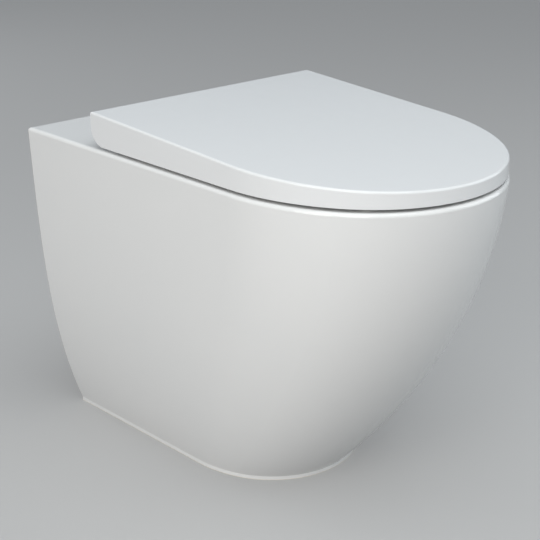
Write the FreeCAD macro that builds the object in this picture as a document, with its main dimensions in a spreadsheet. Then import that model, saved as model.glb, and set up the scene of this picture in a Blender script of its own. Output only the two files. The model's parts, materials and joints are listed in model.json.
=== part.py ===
import FreeCAD, Part
import Sketcher
import math
import os
import re

# Back to wall toilet with a wrap-over soft-close seat.
# Millimetres. X runs across, Y runs towards the wall, Z runs up from the floor.
# Each body is drawn with Y = 0 on the wall plane and is then moved back by half the depth.

sizes = {
    # pan outline at the rim
    "pan_depth": 570.0,
    "pan_height": 400.0,
    "rim_half_width": 180.5,
    "rim_narrowing": 7.6,
    "side_share": 1.2188,
    "nose_share": 0.8975,
    "rim_rounding": 4.0,
    # how the skirt draws in from the rim to the foot
    "side_draft": 18.0,
    "side_tuck": 40.5,
    "side_bend": 3.4,
    "front_draft": 36.0,
    "front_tuck": 171.0,
    "front_bend": 2.0,
    "foot_narrowing": 5.5,
    "plinth_height": 5.0,
    "skirt_wall": 12.0,
    "deck_thickness": 14.0,
    "overcut": 5.0,
    # bowl
    "bowl_rear": 207.0,
    "bowl_front_land": 43.0,
    "bowl_half_width": 128.0,
    "bowl_depth": 240.0,
    "bowl_bend": 2.2,
    "bowl_wall": 10.0,
    "bowl_lip_rounding": 7.0,
    "channel_drop": 52.0,
    "channel_radius": 8.0,
    "channel_depth": 5.0,
    "throat_radius": 40.0,
    "throat_length": 4.0,
    # trapway and waste spigot
    "trap_bore": 38.0,
    "trap_wall": 9.0,
    "trap_start_height": 205.0,
    "dip_distance": 300.0,
    "dip_drop": 20.0,
    "dip_bend": 54.0,
    "crest_distance": 185.0,
    "crest_rise": 8.0,
    "crest_bend": 54.0,
    "outlet_bend": 55.0,
    "outlet_bend_distance": 84.0,
    "outlet_height": 180.0,
    "outlet_recess": 25.0,
    "spigot_radius": 51.0,
    "spigot_length": 55.0,
    # flush inlet
    "inlet_drop": 68.0,
    "inlet_recess": 20.0,
    "inlet_bore": 27.5,
    "inlet_wall": 10.0,
    "inlet_socket": 80.0,
    "jet_bore": 20.0,
    "jet_overrun": 40.0,
    "seal_bore": 20.0,
    "seal_relief": 1.0,
    "seal_length": 50.0,
    "seal_cuff_length": 17.0,
    "seal_cuff_wall": 6.0,
    "seal_flange_radius": 34.0,
    "seal_flange_thickness": 3.0,
    "seal_ridge": 1.2,
    # hidden floor fixing
    "ledge_base": 60.0,
    "ledge_thickness": 18.0,
    "ledge_length": 50.0,
    "ledge_overhang": 13.5,
    "bolt_radius": 4.0,
    "bolt_hole": 5.5,
    "bolt_end": 42.0,
    "hex_radius": 7.5,
    "bolt_head": 5.4,
    "nut_height": 6.5,
    "washer_radius": 9.0,
    "washer_thickness": 1.6,
    "bracket_plate": 4.0,
    "bracket_side_gap": 13.0,
    "bolt_side_gap": 32.5,
    "bolt_front_gap": 174.0,
    "bracket_width": 39.0,
    "bracket_length": 80.0,
    "bracket_top_length": 34.0,
    "bracket_corner": 6.0,
    "floor_screw_hole": 4.5,
    "floor_screw_spacing": 60.0,
    # seat fixing through the deck
    "stud_spread": 77.5,
    "stud_distance": 189.0,
    "stud_radius": 4.0,
    "stud_drop": 55.0,
    "stud_neck": 2.2,
    "stud_neck_base": 5.3,
    "stud_neck_length": 4.8,
    "stud_top": 16.2,
    "stud_flange_radius": 12.0,
    "stud_flange_thickness": 1.8,
    "deck_hole": 7.5,
    "gasket_radius": 13.0,
    "gasket_thickness": 1.5,
    "bush_flange_radius": 12.0,
    "bush_flange_thickness": 4.0,
    "wing_hub_radius": 9.0,
    "wing_nut_height": 14.0,
    "wing_span": 30.0,
    "wing_thickness": 4.0,
    "wing_tip_rounding": 3.0,
    # lid
    "lid_inset": 2.3,
    "lid_gap": 4.0,
    "lid_rear": 132.7,
    "lid_rear_height": 39.6,
    "lid_nose_height": 16.8,
    "lid_wall": 5.0,
    "lid_heel_radius": 22.0,
    "lid_edge_rounding": 2.5,
    "lid_notch_gap": 1.5,
    # hinge line
    "hinge_distance": 154.0,
    "hinge_height": 28.0,
    "knuckle_radius": 8.0,
    "knuckle_gap": 0.6,
    "seat_knuckle_width": 18.0,
    "lid_knuckle_width": 20.0,
    "knuckle_web": 11.0,
    "pin_radius": 3.5,
    "pin_inner": 76.5,
    "pin_end_gap": 2.0,
    "pin_end_play": 1.0,
    "fit_clearance": 0.05,
    # hinge block
    "block_inner": 64.0,
    "block_outer": 88.0,
    "block_rear": 179.0,
    "block_length": 20.0,
    "block_height": 26.7,
    "arm_below": 4.0,
    "arm_above": 6.0,
    "stud_clearance": 0.3,
    "block_rounding": 2.0,
    # soft-close dampers
    "damper_radius": 5.5,
    "damper_inner": 28.0,
    "housing_wall": 2.0,
    "housing_ear_width": 24.0,
    "damper_shaft_radius": 3.0,
    "damper_shaft_inner": 50.0,
    "damper_shaft_outer": 75.0,
    "damper_rim": 0.5,
    # release button
    "slot_width": 16.0,
    "slot_height": 4.0,
    "slot_base": 9.0,
    "slot_end_wall": 1.5,
    "latch_clearance": 0.2,
    "latch_travel": 2.0,
    "latch_end": 82.0,
    "latch_hole": 4.4,
    "button_width": 18.0,
    "button_height": 9.0,
    "button_thickness": 2.5,
    "button_rounding": 0.8,
    "spring_radius": 1.3,
    "spring_wire": 0.25,
    "spring_turns": 4.0,
    # seat ring
    "ring_gap": 2.5,
    "ring_base": 5.5,
    "ring_rear": 203.0,
    "ring_rear_thickness": 15.0,
    "ring_nose_thickness": 8.1,
    "ring_hole_rear": 236.0,
    "ring_front_land": 66.0,
    "ring_hole_side": 34.0,
    "ring_edge_rounding": 3.5,
    "ear_half": 6.0,
    "ear_root": 9.0,
    "ear_slope_run": 20.0,
    # bumpers
    "seat_bumper_radius": 8.0,
    "rear_bumper_inset": 32.5,
    "rear_bumper_distance": 290.0,
    "front_bumper_share": 0.5485,
    "front_bumper_setback": 63.0,
    "lid_bumper_radius": 6.0,
    "lid_bumper_share": 0.6094,
    "lid_bumper_setback": 100.0,
    "bumper_seat_gap": 0.3,
}

doc = FreeCAD.newDocument("back_to_wall_toilet")
sheet = doc.addObject("Spreadsheet::Sheet", "Sizes")
for row, (name, size) in enumerate(sizes.items(), 1):
    sheet.set(f"A{row}", name)
    sheet.set(f"B{row}", str(size))
    sheet.setAlias(f"B{row}", name)
doc.recompute()

# heights and places that several pieces share, as formulas of the sizes above
rim_side = "(side_share*rim_half_width)"
rim_nose = "(nose_share*rim_half_width)"
crest_level = "(outlet_height + crest_rise)"
inlet_level = "(pan_height - inlet_drop)"
dip_level = "(outlet_height + crest_rise - dip_drop)"
deck_top = "pan_height"
deck_under = "(pan_height - deck_thickness)"
axis_z = "(pan_height + hinge_height)"
block_base = "(pan_height + gasket_thickness + stud_flange_thickness)"
lid_base = "(pan_height + lid_gap)"
lid_top = f"({lid_base} + lid_rear_height)"
lid_nose = "(pan_depth - lid_inset)"
lid_fall = f"((lid_rear_height - lid_nose_height)/({lid_nose} - lid_rear))"
ring_low = "(pan_height + ring_base)"
ring_inset = "(lid_inset + lid_wall + ring_gap)"
ring_nose = f"(pan_depth - {ring_inset})"
ring_fall = f"((ring_rear_thickness - ring_nose_thickness)/({ring_nose} - ring_rear))"
knuckle_start = "(block_outer + knuckle_gap)"
lid_knuckle_start = f"({knuckle_start} + seat_knuckle_width + knuckle_gap)"
housing_end = "(block_inner - knuckle_gap)"
spring_start = "(latch_end + spring_wire)"
ledge_top = "(ledge_base + ledge_thickness)"
foot_inside = "(rim_half_width - side_draft - side_tuck - skirt_wall)"
foot_reach = "(pan_depth - front_draft - front_tuck)"
bolt_across = f"({foot_inside} - bolt_side_gap)"
bolt_distance = f"({foot_reach} - bolt_front_gap)"
bracket_outer = f"({foot_inside} - bracket_side_gap)"
bracket_inner = f"({bracket_outer} - bracket_width)"
ledge_inner = f"({bolt_across} - ledge_overhang)"


def formula(text):
    """Points each size in a formula at its cell."""
    return re.sub(r"[a-z][a-z_]*", lambda word: f"Sizes.{word[0]}" if word[0] in sizes else word[0], text)


def number(text):
    return float(sheet.evalExpression(formula(text)))


def bind(target, **formulas):
    """Ties properties to formulas; a double underscore stands for a dot."""
    for name, text in formulas.items():
        target.setExpression(name.replace("__", "."), formula(text))


def new_body(label):
    body = doc.addObject("PartDesign::Body", label)
    body.Label = label
    bind(body, Placement__Base__y="pan_depth/2")
    return body


def new_sketch(body, name, role, offset="0"):
    sketch = body.newObject("Sketcher::SketchObject", name)
    plane = [item for item in body.Origin.OriginFeatures if item.Role == role][0]
    sketch.AttachmentSupport = [(plane, "")]
    sketch.MapMode = "FlatFace"
    bind(sketch, AttachmentOffset__Base__z=offset)
    return sketch


def dimension(sketch, kind, *where_and_formula):
    *where, text = where_and_formula
    index = sketch.addConstraint(Sketcher.Constraint(kind, *where, number(text)))
    sketch.setExpression(f"Constraints[{index}]", formula(text))


def place_point(sketch, shape, end, across, up):
    """Dimensions one point of the sketch from its origin."""
    for kind, axis, text in (("DistanceX", -2, across), ("DistanceY", -1, up)):
        value = number(text)
        if abs(value) < touch:
            sketch.addConstraint(Sketcher.Constraint("PointOnObject", shape, end, axis))
        elif value > 0:
            dimension(sketch, kind, -1, 1, shape, end, text)
        else:
            dimension(sketch, kind, shape, end, -1, 1, f"-({text})")


def polygon(sketch, points):
    """Closed outline of straight lines, each corner dimensioned from the origin."""
    corners = [FreeCAD.Vector(number(across), number(up), 0) for across, up in points]
    count = len(corners)
    lines = []
    for index in range(count):
        lines.append(sketch.addGeometry(Part.LineSegment(corners[index], corners[(index + 1) % count])))
    for index, line in enumerate(lines):
        sketch.addConstraint(Sketcher.Constraint("Coincident", line, 2, lines[(index + 1) % count], 1))
    for line, (across, up) in zip(lines, points):
        place_point(sketch, line, 1, across, up)


def shoe_outline(sketch, half, narrowing, side, nose, depth, rear="0"):
    """Straight back, tapering sides, a cheek arc on each side and a nose arc, all tangent."""
    w, drop, rs, rn, reach, back = [number(text) for text in (half, narrowing, side, nose, depth, rear)]
    corner = FreeCAD.Vector(w, back, 0)
    tip_centre = FreeCAD.Vector(0, rn - reach, 0)
    lean = 0.0
    for _ in range(40):
        inward = FreeCAD.Vector(-math.cos(lean), math.sin(lean), 0)
        along = FreeCAD.Vector(-math.sin(lean), -math.cos(lean), 0)
        start = corner + inward * rs - tip_centre
        run = -start.dot(along) - math.sqrt(start.dot(along) ** 2 - start.dot(start) + (rs - rn) ** 2)
        lean = math.asin(drop / run)
    cheek_centre = corner + along * run + inward * rs
    shoulder = cheek_centre - inward * rs
    join = tip_centre + (tip_centre - cheek_centre).normalize() * rn
    from_angle = math.atan2(join.y - cheek_centre.y, join.x - cheek_centre.x)
    to_angle = math.atan2(shoulder.y - cheek_centre.y, shoulder.x - cheek_centre.x)
    up = FreeCAD.Vector(0, 0, 1)

    def flip(point):
        return FreeCAD.Vector(-point.x, point.y, 0)

    back_line = sketch.addGeometry(Part.LineSegment(flip(corner), corner))
    right = sketch.addGeometry(Part.LineSegment(corner, shoulder))
    cheek_circle = Part.Circle(cheek_centre, up, rs)
    right_cheek = sketch.addGeometry(Part.ArcOfCircle(cheek_circle, from_angle, to_angle))
    tip = sketch.addGeometry(
        Part.ArcOfCircle(Part.Circle(tip_centre, up, rn), -math.pi - from_angle, from_angle))
    left_cheek = sketch.addGeometry(
        Part.ArcOfCircle(Part.Circle(flip(cheek_centre), up, rs), math.pi - to_angle, math.pi - from_angle))
    left = sketch.addGeometry(Part.LineSegment(flip(shoulder), flip(corner)))
    sketch.addConstraint([
        Sketcher.Constraint("Coincident", back_line, 2, right, 1),
        Sketcher.Constraint("Tangent", right, 2, right_cheek, 2),
        Sketcher.Constraint("Tangent", right_cheek, 1, tip, 2),
        Sketcher.Constraint("Tangent", tip, 1, left_cheek, 2),
        Sketcher.Constraint("Tangent", left_cheek, 1, left, 1),
        Sketcher.Constraint("Coincident", left, 2, back_line, 1),
        Sketcher.Constraint("Symmetric", back_line, 1, back_line, 2, -2),
        Sketcher.Constraint("Symmetric", right, 2, left, 1, -2),
        Sketcher.Constraint("PointOnObject", tip, 3, -2),
    ])
    dimension(sketch, "DistanceX", back_line, 1, back_line, 2, f"2*({half})")
    dimension(sketch, "DistanceX", left, 1, right, 2, f"2*(({half}) - ({narrowing}))")
    dimension(sketch, "Radius", right_cheek, side)
    dimension(sketch, "Radius", tip, nose)
    dimension(sketch, "DistanceY", tip, 3, -1, 1, f"({depth}) - ({nose})")
    if back:
        dimension(sketch, "DistanceY", -1, 1, back_line, 2, rear)
    else:
        sketch.addConstraint(Sketcher.Constraint("PointOnObject", back_line, 2, -1))


def oval_outline(sketch, half, rear, front):
    """Two equal end arcs joined by straight sides; rear and front are distances from the wall."""
    r, near, far = [number(text) for text in (half, rear, front)]
    up = FreeCAD.Vector(0, 0, 1)
    rear_centre = FreeCAD.Vector(0, -(near + r), 0)
    front_centre = FreeCAD.Vector(0, -(far - r), 0)
    side = FreeCAD.Vector(r, 0, 0)
    rear_arc = sketch.addGeometry(Part.ArcOfCircle(Part.Circle(rear_centre, up, r), 0, math.pi))
    left = sketch.addGeometry(Part.LineSegment(rear_centre - side, front_centre - side))
    front_arc = sketch.addGeometry(Part.ArcOfCircle(Part.Circle(front_centre, up, r), math.pi, 2 * math.pi))
    right = sketch.addGeometry(Part.LineSegment(front_centre + side, rear_centre + side))
    sketch.addConstraint([
        Sketcher.Constraint("Tangent", rear_arc, 2, left, 1),
        Sketcher.Constraint("Tangent", left, 2, front_arc, 1),
        Sketcher.Constraint("Tangent", front_arc, 2, right, 1),
        Sketcher.Constraint("Tangent", right, 2, rear_arc, 1),
        Sketcher.Constraint("PointOnObject", rear_arc, 3, -2),
        Sketcher.Constraint("PointOnObject", front_arc, 3, -2),
    ])
    dimension(sketch, "Radius", rear_arc, half)
    dimension(sketch, "DistanceY", rear_arc, 3, -1, 1, f"({rear}) + ({half})")
    dimension(sketch, "DistanceY", front_arc, 3, -1, 1, f"({front}) - ({half})")


def pad(body, name, sketch, length, reverse=False, cut=False):
    kind = "PartDesign::Pocket" if cut else "PartDesign::Pad"
    feature = body.newObject(kind, name)
    feature.Profile = sketch
    feature.Reversed = reverse
    bind(feature, Length=length)
    return feature


def loft(body, name, sketches, cut=False):
    kind = "PartDesign::SubtractiveLoft" if cut else "PartDesign::AdditiveLoft"
    feature = body.newObject(kind, name)
    feature.Profile = sketches[0]
    feature.Sections = sketches[1:]
    return feature


def cylinder(body, name, direction, base, radius, height, cut=False):
    """Round bar or bore from a base point along a direction."""
    kind = "PartDesign::SubtractiveCylinder" if cut else "PartDesign::AdditiveCylinder"
    feature = body.newObject(kind, name)
    feature.Placement.Rotation = FreeCAD.Rotation(FreeCAD.Vector(0, 0, 1), FreeCAD.Vector(*direction))
    x, y, z = base
    bind(feature, Placement__Base__x=x, Placement__Base__y=y, Placement__Base__z=z)
    bind(feature, Radius=radius, Height=height)
    return feature


def box(body, name, low, high, cut=False):
    """Straight-sided block between two opposite corners."""
    kind = "PartDesign::SubtractiveBox" if cut else "PartDesign::AdditiveBox"
    feature = body.newObject(kind, name)
    bind(feature, Placement__Base__x=low[0], Placement__Base__y=low[1], Placement__Base__z=low[2])
    bind(feature, Length=f"({high[0]}) - ({low[0]})")
    bind(feature, Width=f"({high[1]}) - ({low[1]})")
    bind(feature, Height=f"({high[2]}) - ({low[2]})")
    return feature


def turned(body, name, profile, across, distance):
    """Solid of revolution about an upright axis; profile points are radius and height."""
    sketch = new_sketch(body, f"{name}Profile", "XZ_Plane", distance)
    bind(sketch, AttachmentOffset__Base__x=across)
    polygon(sketch, profile)
    feature = body.newObject("PartDesign::Revolution", name)
    feature.Profile = sketch
    feature.ReferenceAxis = (sketch, ["V_Axis"])
    feature.Angle = 360
    return feature


def round_edges(body, name, base, chosen, radius):
    """Rounds the edges of the last feature that a test picks out."""
    doc.recompute()
    names = [f"Edge{i}" for i, edge in enumerate(base.Shape.Edges, 1) if chosen(edge)]
    feature = body.newObject("PartDesign::Fillet", name)
    feature.Base = (base, names)
    bind(feature, Radius=radius)
    return feature


def level_edge(height):
    """Picks the edges that lie in one level plane."""
    z = number(height)
    return lambda edge: all(abs(vertex.Z - z) < touch for vertex in edge.Vertexes)


def mirrored(source, label):
    """The other hand of a piece, across the middle plane."""
    copy = doc.addObject("Part::Mirroring", label)
    copy.Label = label
    copy.Source = source
    copy.Normal = FreeCAD.Vector(1, 0, 0)
    return copy


def pair(source, label):
    """A piece and its mirror image as one group of separate solids."""
    source.Label = f"{label}_right"
    group = doc.addObject("Part::Compound", label)
    group.Label = label
    group.Links = [source, mirrored(source, f"{label}_left")]
    return group


ALONG_X = (1, 0, 0)
FORWARD = (0, -1, 0)
UPWARD = (0, 0, 1)
touch = 1e-4

# where the outlines of the skirt and the bowl are drawn, as shares of their heights
skirt_drops = ("0.2", "0.4", "0.6", "0.8", "0.92")
bowl_sinks = ("0", "0.25", "0.5", "0.75", "1")


def skirt_level(drop, inset="0"):
    """Outline sizes at a share of the height below the rim."""
    half = f"(rim_half_width - side_draft*{drop} - side_tuck*{drop}^side_bend)"
    return {
        "half": f"{half} - {inset}",
        "narrowing": f"(rim_narrowing + foot_narrowing*{drop})*{half}/rim_half_width",
        "side": f"side_share*{half} - {inset}",
        "nose": f"nose_share*{half} - {inset}",
        "depth": f"pan_depth - front_draft*{drop} - front_tuck*{drop}^front_bend - {inset}",
    }


def bowl_level(sink, grow="0"):
    """Oval sizes of the bowl at a share of its depth."""
    open_share = f"(1 - {sink}^bowl_bend)"
    throat_middle = "(dip_distance + dip_bend)"
    throat_rear = f"({throat_middle} - throat_radius - throat_length/2)"
    throat_front = f"({throat_middle} + throat_radius + throat_length/2)"
    return {
        "half": f"throat_radius + (bowl_half_width - throat_radius)*{open_share} + {grow}",
        "rear": f"{throat_rear} - ({throat_rear} - bowl_rear)*{open_share} - {grow}",
        "front": f"{throat_front} + (pan_depth - bowl_front_land - {throat_front})*{open_share} + {grow}",
    }


def trap_path(body, name):
    """Centre line of the trapway: down from the bowl, under the dip, over the crest, out to the wall."""
    sketch = new_sketch(body, name, "YZ_Plane")
    dip = FreeCAD.Vector(-number("dip_distance"), number(dip_level), 0)
    crest = FreeCAD.Vector(-number("crest_distance"), number(crest_level), 0)
    level = number("outlet_height")
    bends = [number(text) for text in ("dip_bend", "crest_bend", "outlet_bend")]
    outlet = FreeCAD.Vector(-number("outlet_bend_distance"), level + bends[2], 0)
    up = FreeCAD.Vector(0, 0, 1)

    def heading(start, end, reach):
        gap = end - start
        return math.atan2(gap.y, gap.x) - math.asin(reach / gap.Length)

    rise = heading(dip, crest, -bends[0] - bends[1])
    fall = heading(crest, outlet, bends[1] + bends[2])

    def under(centre, radius, angle):
        return centre + FreeCAD.Vector(math.sin(angle), -math.cos(angle), 0) * radius

    def over(centre, radius, angle):
        return centre + FreeCAD.Vector(-math.sin(angle), math.cos(angle), 0) * radius

    inlet_top = FreeCAD.Vector(dip.x - bends[0], number("trap_start_height"), 0)
    inlet_low = FreeCAD.Vector(dip.x - bends[0], dip.y, 0)
    outlet_end = FreeCAD.Vector(-number("outlet_recess"), level, 0)
    quarter = math.pi / 2
    pieces = [
        Part.LineSegment(inlet_top, inlet_low),
        Part.ArcOfCircle(Part.Circle(dip, up, bends[0]), math.pi, 3 * quarter + rise),
        Part.LineSegment(under(dip, bends[0], rise), over(crest, bends[1], rise)),
        Part.ArcOfCircle(Part.Circle(crest, up, bends[1]), quarter + fall, quarter + rise),
        Part.LineSegment(over(crest, bends[1], fall), under(outlet, bends[2], fall)),
        Part.ArcOfCircle(Part.Circle(outlet, up, bends[2]), 3 * quarter + fall, 3 * quarter),
        Part.LineSegment(FreeCAD.Vector(outlet.x, level, 0), outlet_end),
    ]
    drop, dip_arc, leg, crest_arc, slide, outlet_arc, run = [sketch.addGeometry(piece) for piece in pieces]
    sketch.addConstraint([
        Sketcher.Constraint("Tangent", drop, 2, dip_arc, 1),
        Sketcher.Constraint("Tangent", dip_arc, 2, leg, 1),
        Sketcher.Constraint("Tangent", leg, 2, crest_arc, 2),
        Sketcher.Constraint("Tangent", crest_arc, 1, slide, 1),
        Sketcher.Constraint("Tangent", slide, 2, outlet_arc, 1),
        Sketcher.Constraint("Tangent", outlet_arc, 2, run, 1),
        Sketcher.Constraint("Vertical", drop),
        Sketcher.Constraint("Horizontal", run),
    ])
    place_point(sketch, dip_arc, 3, "-dip_distance", dip_level)
    place_point(sketch, crest_arc, 3, "-crest_distance", crest_level)
    dimension(sketch, "Radius", dip_arc, "dip_bend")
    dimension(sketch, "Radius", crest_arc, "crest_bend")
    dimension(sketch, "Radius", outlet_arc, "outlet_bend")
    dimension(sketch, "DistanceX", outlet_arc, 3, -1, 1, "outlet_bend_distance")
    dimension(sketch, "DistanceY", -1, 1, drop, 1, "trap_start_height")
    place_point(sketch, run, 2, "-outlet_recess", "outlet_height")
    return sketch


def trap_pipe(body, name, radius, cut=False):
    section = new_sketch(body, f"{name}Section", "XY_Plane", "trap_start_height")
    middle = FreeCAD.Vector(0, -number("dip_distance + dip_bend"), 0)
    ring = section.addGeometry(Part.Circle(middle, FreeCAD.Vector(0, 0, 1), number(radius)))
    section.addConstraint(Sketcher.Constraint("PointOnObject", ring, 3, -2))
    dimension(section, "DistanceY", ring, 3, -1, 1, "dip_distance + dip_bend")
    dimension(section, "Radius", ring, radius)
    path = trap_path(body, f"{name}Path")
    kind = "PartDesign::SubtractivePipe" if cut else "PartDesign::AdditivePipe"
    pipe = body.newObject(kind, name)
    pipe.Profile = section
    pipe.Spine = (path, [f"Edge{i}" for i in range(1, 8)])
    return pipe


def make_pan():
    """Vitreous china pan: skirt, deck, rimless bowl, trapway, flush inlet and fixing ledges in one piece."""
    body = new_body("pan")
    foot = "(1 - plinth_height/pan_height)"
    outer = []
    for index, drop in enumerate(("0", *skirt_drops, foot)):
        sketch = new_sketch(body, f"SkirtOutline{index}", "XY_Plane", f"pan_height*(1 - {drop})")
        shoe_outline(sketch, **skirt_level(drop), rear="overcut")
        outer.append(sketch)
    loft(body, "Skirt", outer)

    plinth_outline = new_sketch(body, "PlinthOutline", "XY_Plane", "plinth_height")
    shoe_outline(plinth_outline, **skirt_level(foot), rear="overcut")
    pad(body, "Plinth", plinth_outline, "plinth_height", reverse=True)
    wall_plane = box(body, "WallPlane", ("-2*rim_half_width", "0", "-overcut"),
                     ("2*rim_half_width", "2*overcut", "pan_height + overcut"), cut=True)
    round_edges(body, "RimRounding", wall_plane, level_edge(deck_top), "rim_rounding")

    hollow = []
    floor_drop = "(1 + overcut/pan_height)"
    for index, drop in enumerate(("(deck_thickness/pan_height)", *skirt_drops, floor_drop)):
        sketch = new_sketch(body, f"HollowOutline{index}", "XY_Plane", f"pan_height*(1 - {drop})")
        shoe_outline(sketch, **skirt_level(drop, "skirt_wall"), rear="2*overcut")
        hollow.append(sketch)
    loft(body, "SkirtHollow", hollow, cut=True)

    bowl_outside = []
    bowl_inside = []
    for index, sink in enumerate(bowl_sinks):
        shell = new_sketch(body, f"BowlShell{index}", "XY_Plane",
                           f"{deck_top} - bowl_wall/2 - bowl_depth*{sink}")
        oval_outline(shell, **bowl_level(sink, "bowl_wall"))
        bowl_outside.append(shell)
    loft(body, "BowlShell", bowl_outside)
    trap_pipe(body, "TrapShell", "trap_bore + trap_wall")
    cylinder(body, "WasteSpigot", FORWARD, ("0", "-outlet_recess", "outlet_height"),
             "spigot_radius", "spigot_length")
    cylinder(body, "InletHorn", FORWARD, ("0", "-inlet_recess", inlet_level),
             "inlet_bore + inlet_wall", "bowl_rear + bowl_wall - inlet_recess")

    for index, sink in enumerate(bowl_sinks):
        sketch = new_sketch(body, f"BowlInside{index}", "XY_Plane", f"{deck_top} - bowl_depth*{sink}")
        oval_outline(sketch, **bowl_level(sink))
        bowl_inside.append(sketch)
    loft(body, "BowlInside", bowl_inside, cut=True)
    trap_pipe(body, "TrapBore", "trap_bore", cut=True)
    cylinder(body, "InletSocket", FORWARD, ("0", "-inlet_recess", inlet_level),
             "inlet_bore", "inlet_socket", cut=True)
    cylinder(body, "FlushJet", FORWARD, ("0", "-inlet_recess", inlet_level),
             "jet_bore", "bowl_rear + jet_overrun - inlet_recess", cut=True)

    ledge_drop = "((pan_height - ledge_base)/pan_height)"
    ledge_outer = f"({skirt_level(ledge_drop)['half']} - rim_narrowing - skirt_wall/2)"
    ledge_rear = f"-{bolt_distance} + ledge_length/2"
    ledge_front = f"-{bolt_distance} - ledge_length/2"
    box(body, "LedgeRight", (ledge_inner, ledge_front, "ledge_base"), (ledge_outer, ledge_rear, ledge_top))
    box(body, "LedgeLeft", (f"-{ledge_outer}", ledge_front, "ledge_base"),
        (f"-{ledge_inner}", ledge_rear, ledge_top))
    for hand, side in (("Right", ""), ("Left", "-")):
        cylinder(body, f"LedgeHole{hand}", UPWARD,
                 (f"{side}{bolt_across}", f"-{bolt_distance}", "ledge_base - overcut"),
                 "bolt_hole", "ledge_thickness + 2*overcut", cut=True)
        hole = cylinder(body, f"SeatHole{hand}", UPWARD,
                        (f"{side}stud_spread", "-stud_distance", f"{deck_under} - overcut"),
                        "deck_hole", "deck_thickness + 2*overcut", cut=True)
    half = number("bowl_half_width")
    hole_rim = 2 * math.pi * number("deck_hole")
    on_deck = level_edge(deck_top)

    def bowl_lip(edge):
        across = max(abs(edge.BoundBox.XMin), abs(edge.BoundBox.XMax))
        return on_deck(edge) and across < half + touch and edge.Length > hole_rim + touch

    round_edges(body, "BowlLip", hole, bowl_lip, "bowl_lip_rounding")

    channel_sink = "(channel_drop/bowl_depth)"
    channel_oval = bowl_level(channel_sink, "channel_depth - channel_radius")
    channel_z = f"{deck_top} - channel_drop"
    route = new_sketch(body, "ChannelRoute", "XY_Plane", channel_z)
    oval_outline(route, **channel_oval)
    section = new_sketch(body, "ChannelSection", "XZ_Plane",
                         f"({channel_oval['rear']}) + ({channel_oval['half']})")
    bind(section, AttachmentOffset__Base__x=channel_oval["half"], AttachmentOffset__Base__y=channel_z)
    ring = section.addGeometry(Part.Circle(FreeCAD.Vector(0, 0, 0), FreeCAD.Vector(0, 0, 1),
                                           number("channel_radius")))
    section.addConstraint(Sketcher.Constraint("Coincident", ring, 3, -1, 1))
    dimension(section, "Radius", ring, "channel_radius")
    channel = body.newObject("PartDesign::SubtractivePipe", "FlushChannel")
    channel.Profile = section
    channel.Spine = (route, ["Edge1", "Edge2", "Edge3", "Edge4"])
    return body


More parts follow.
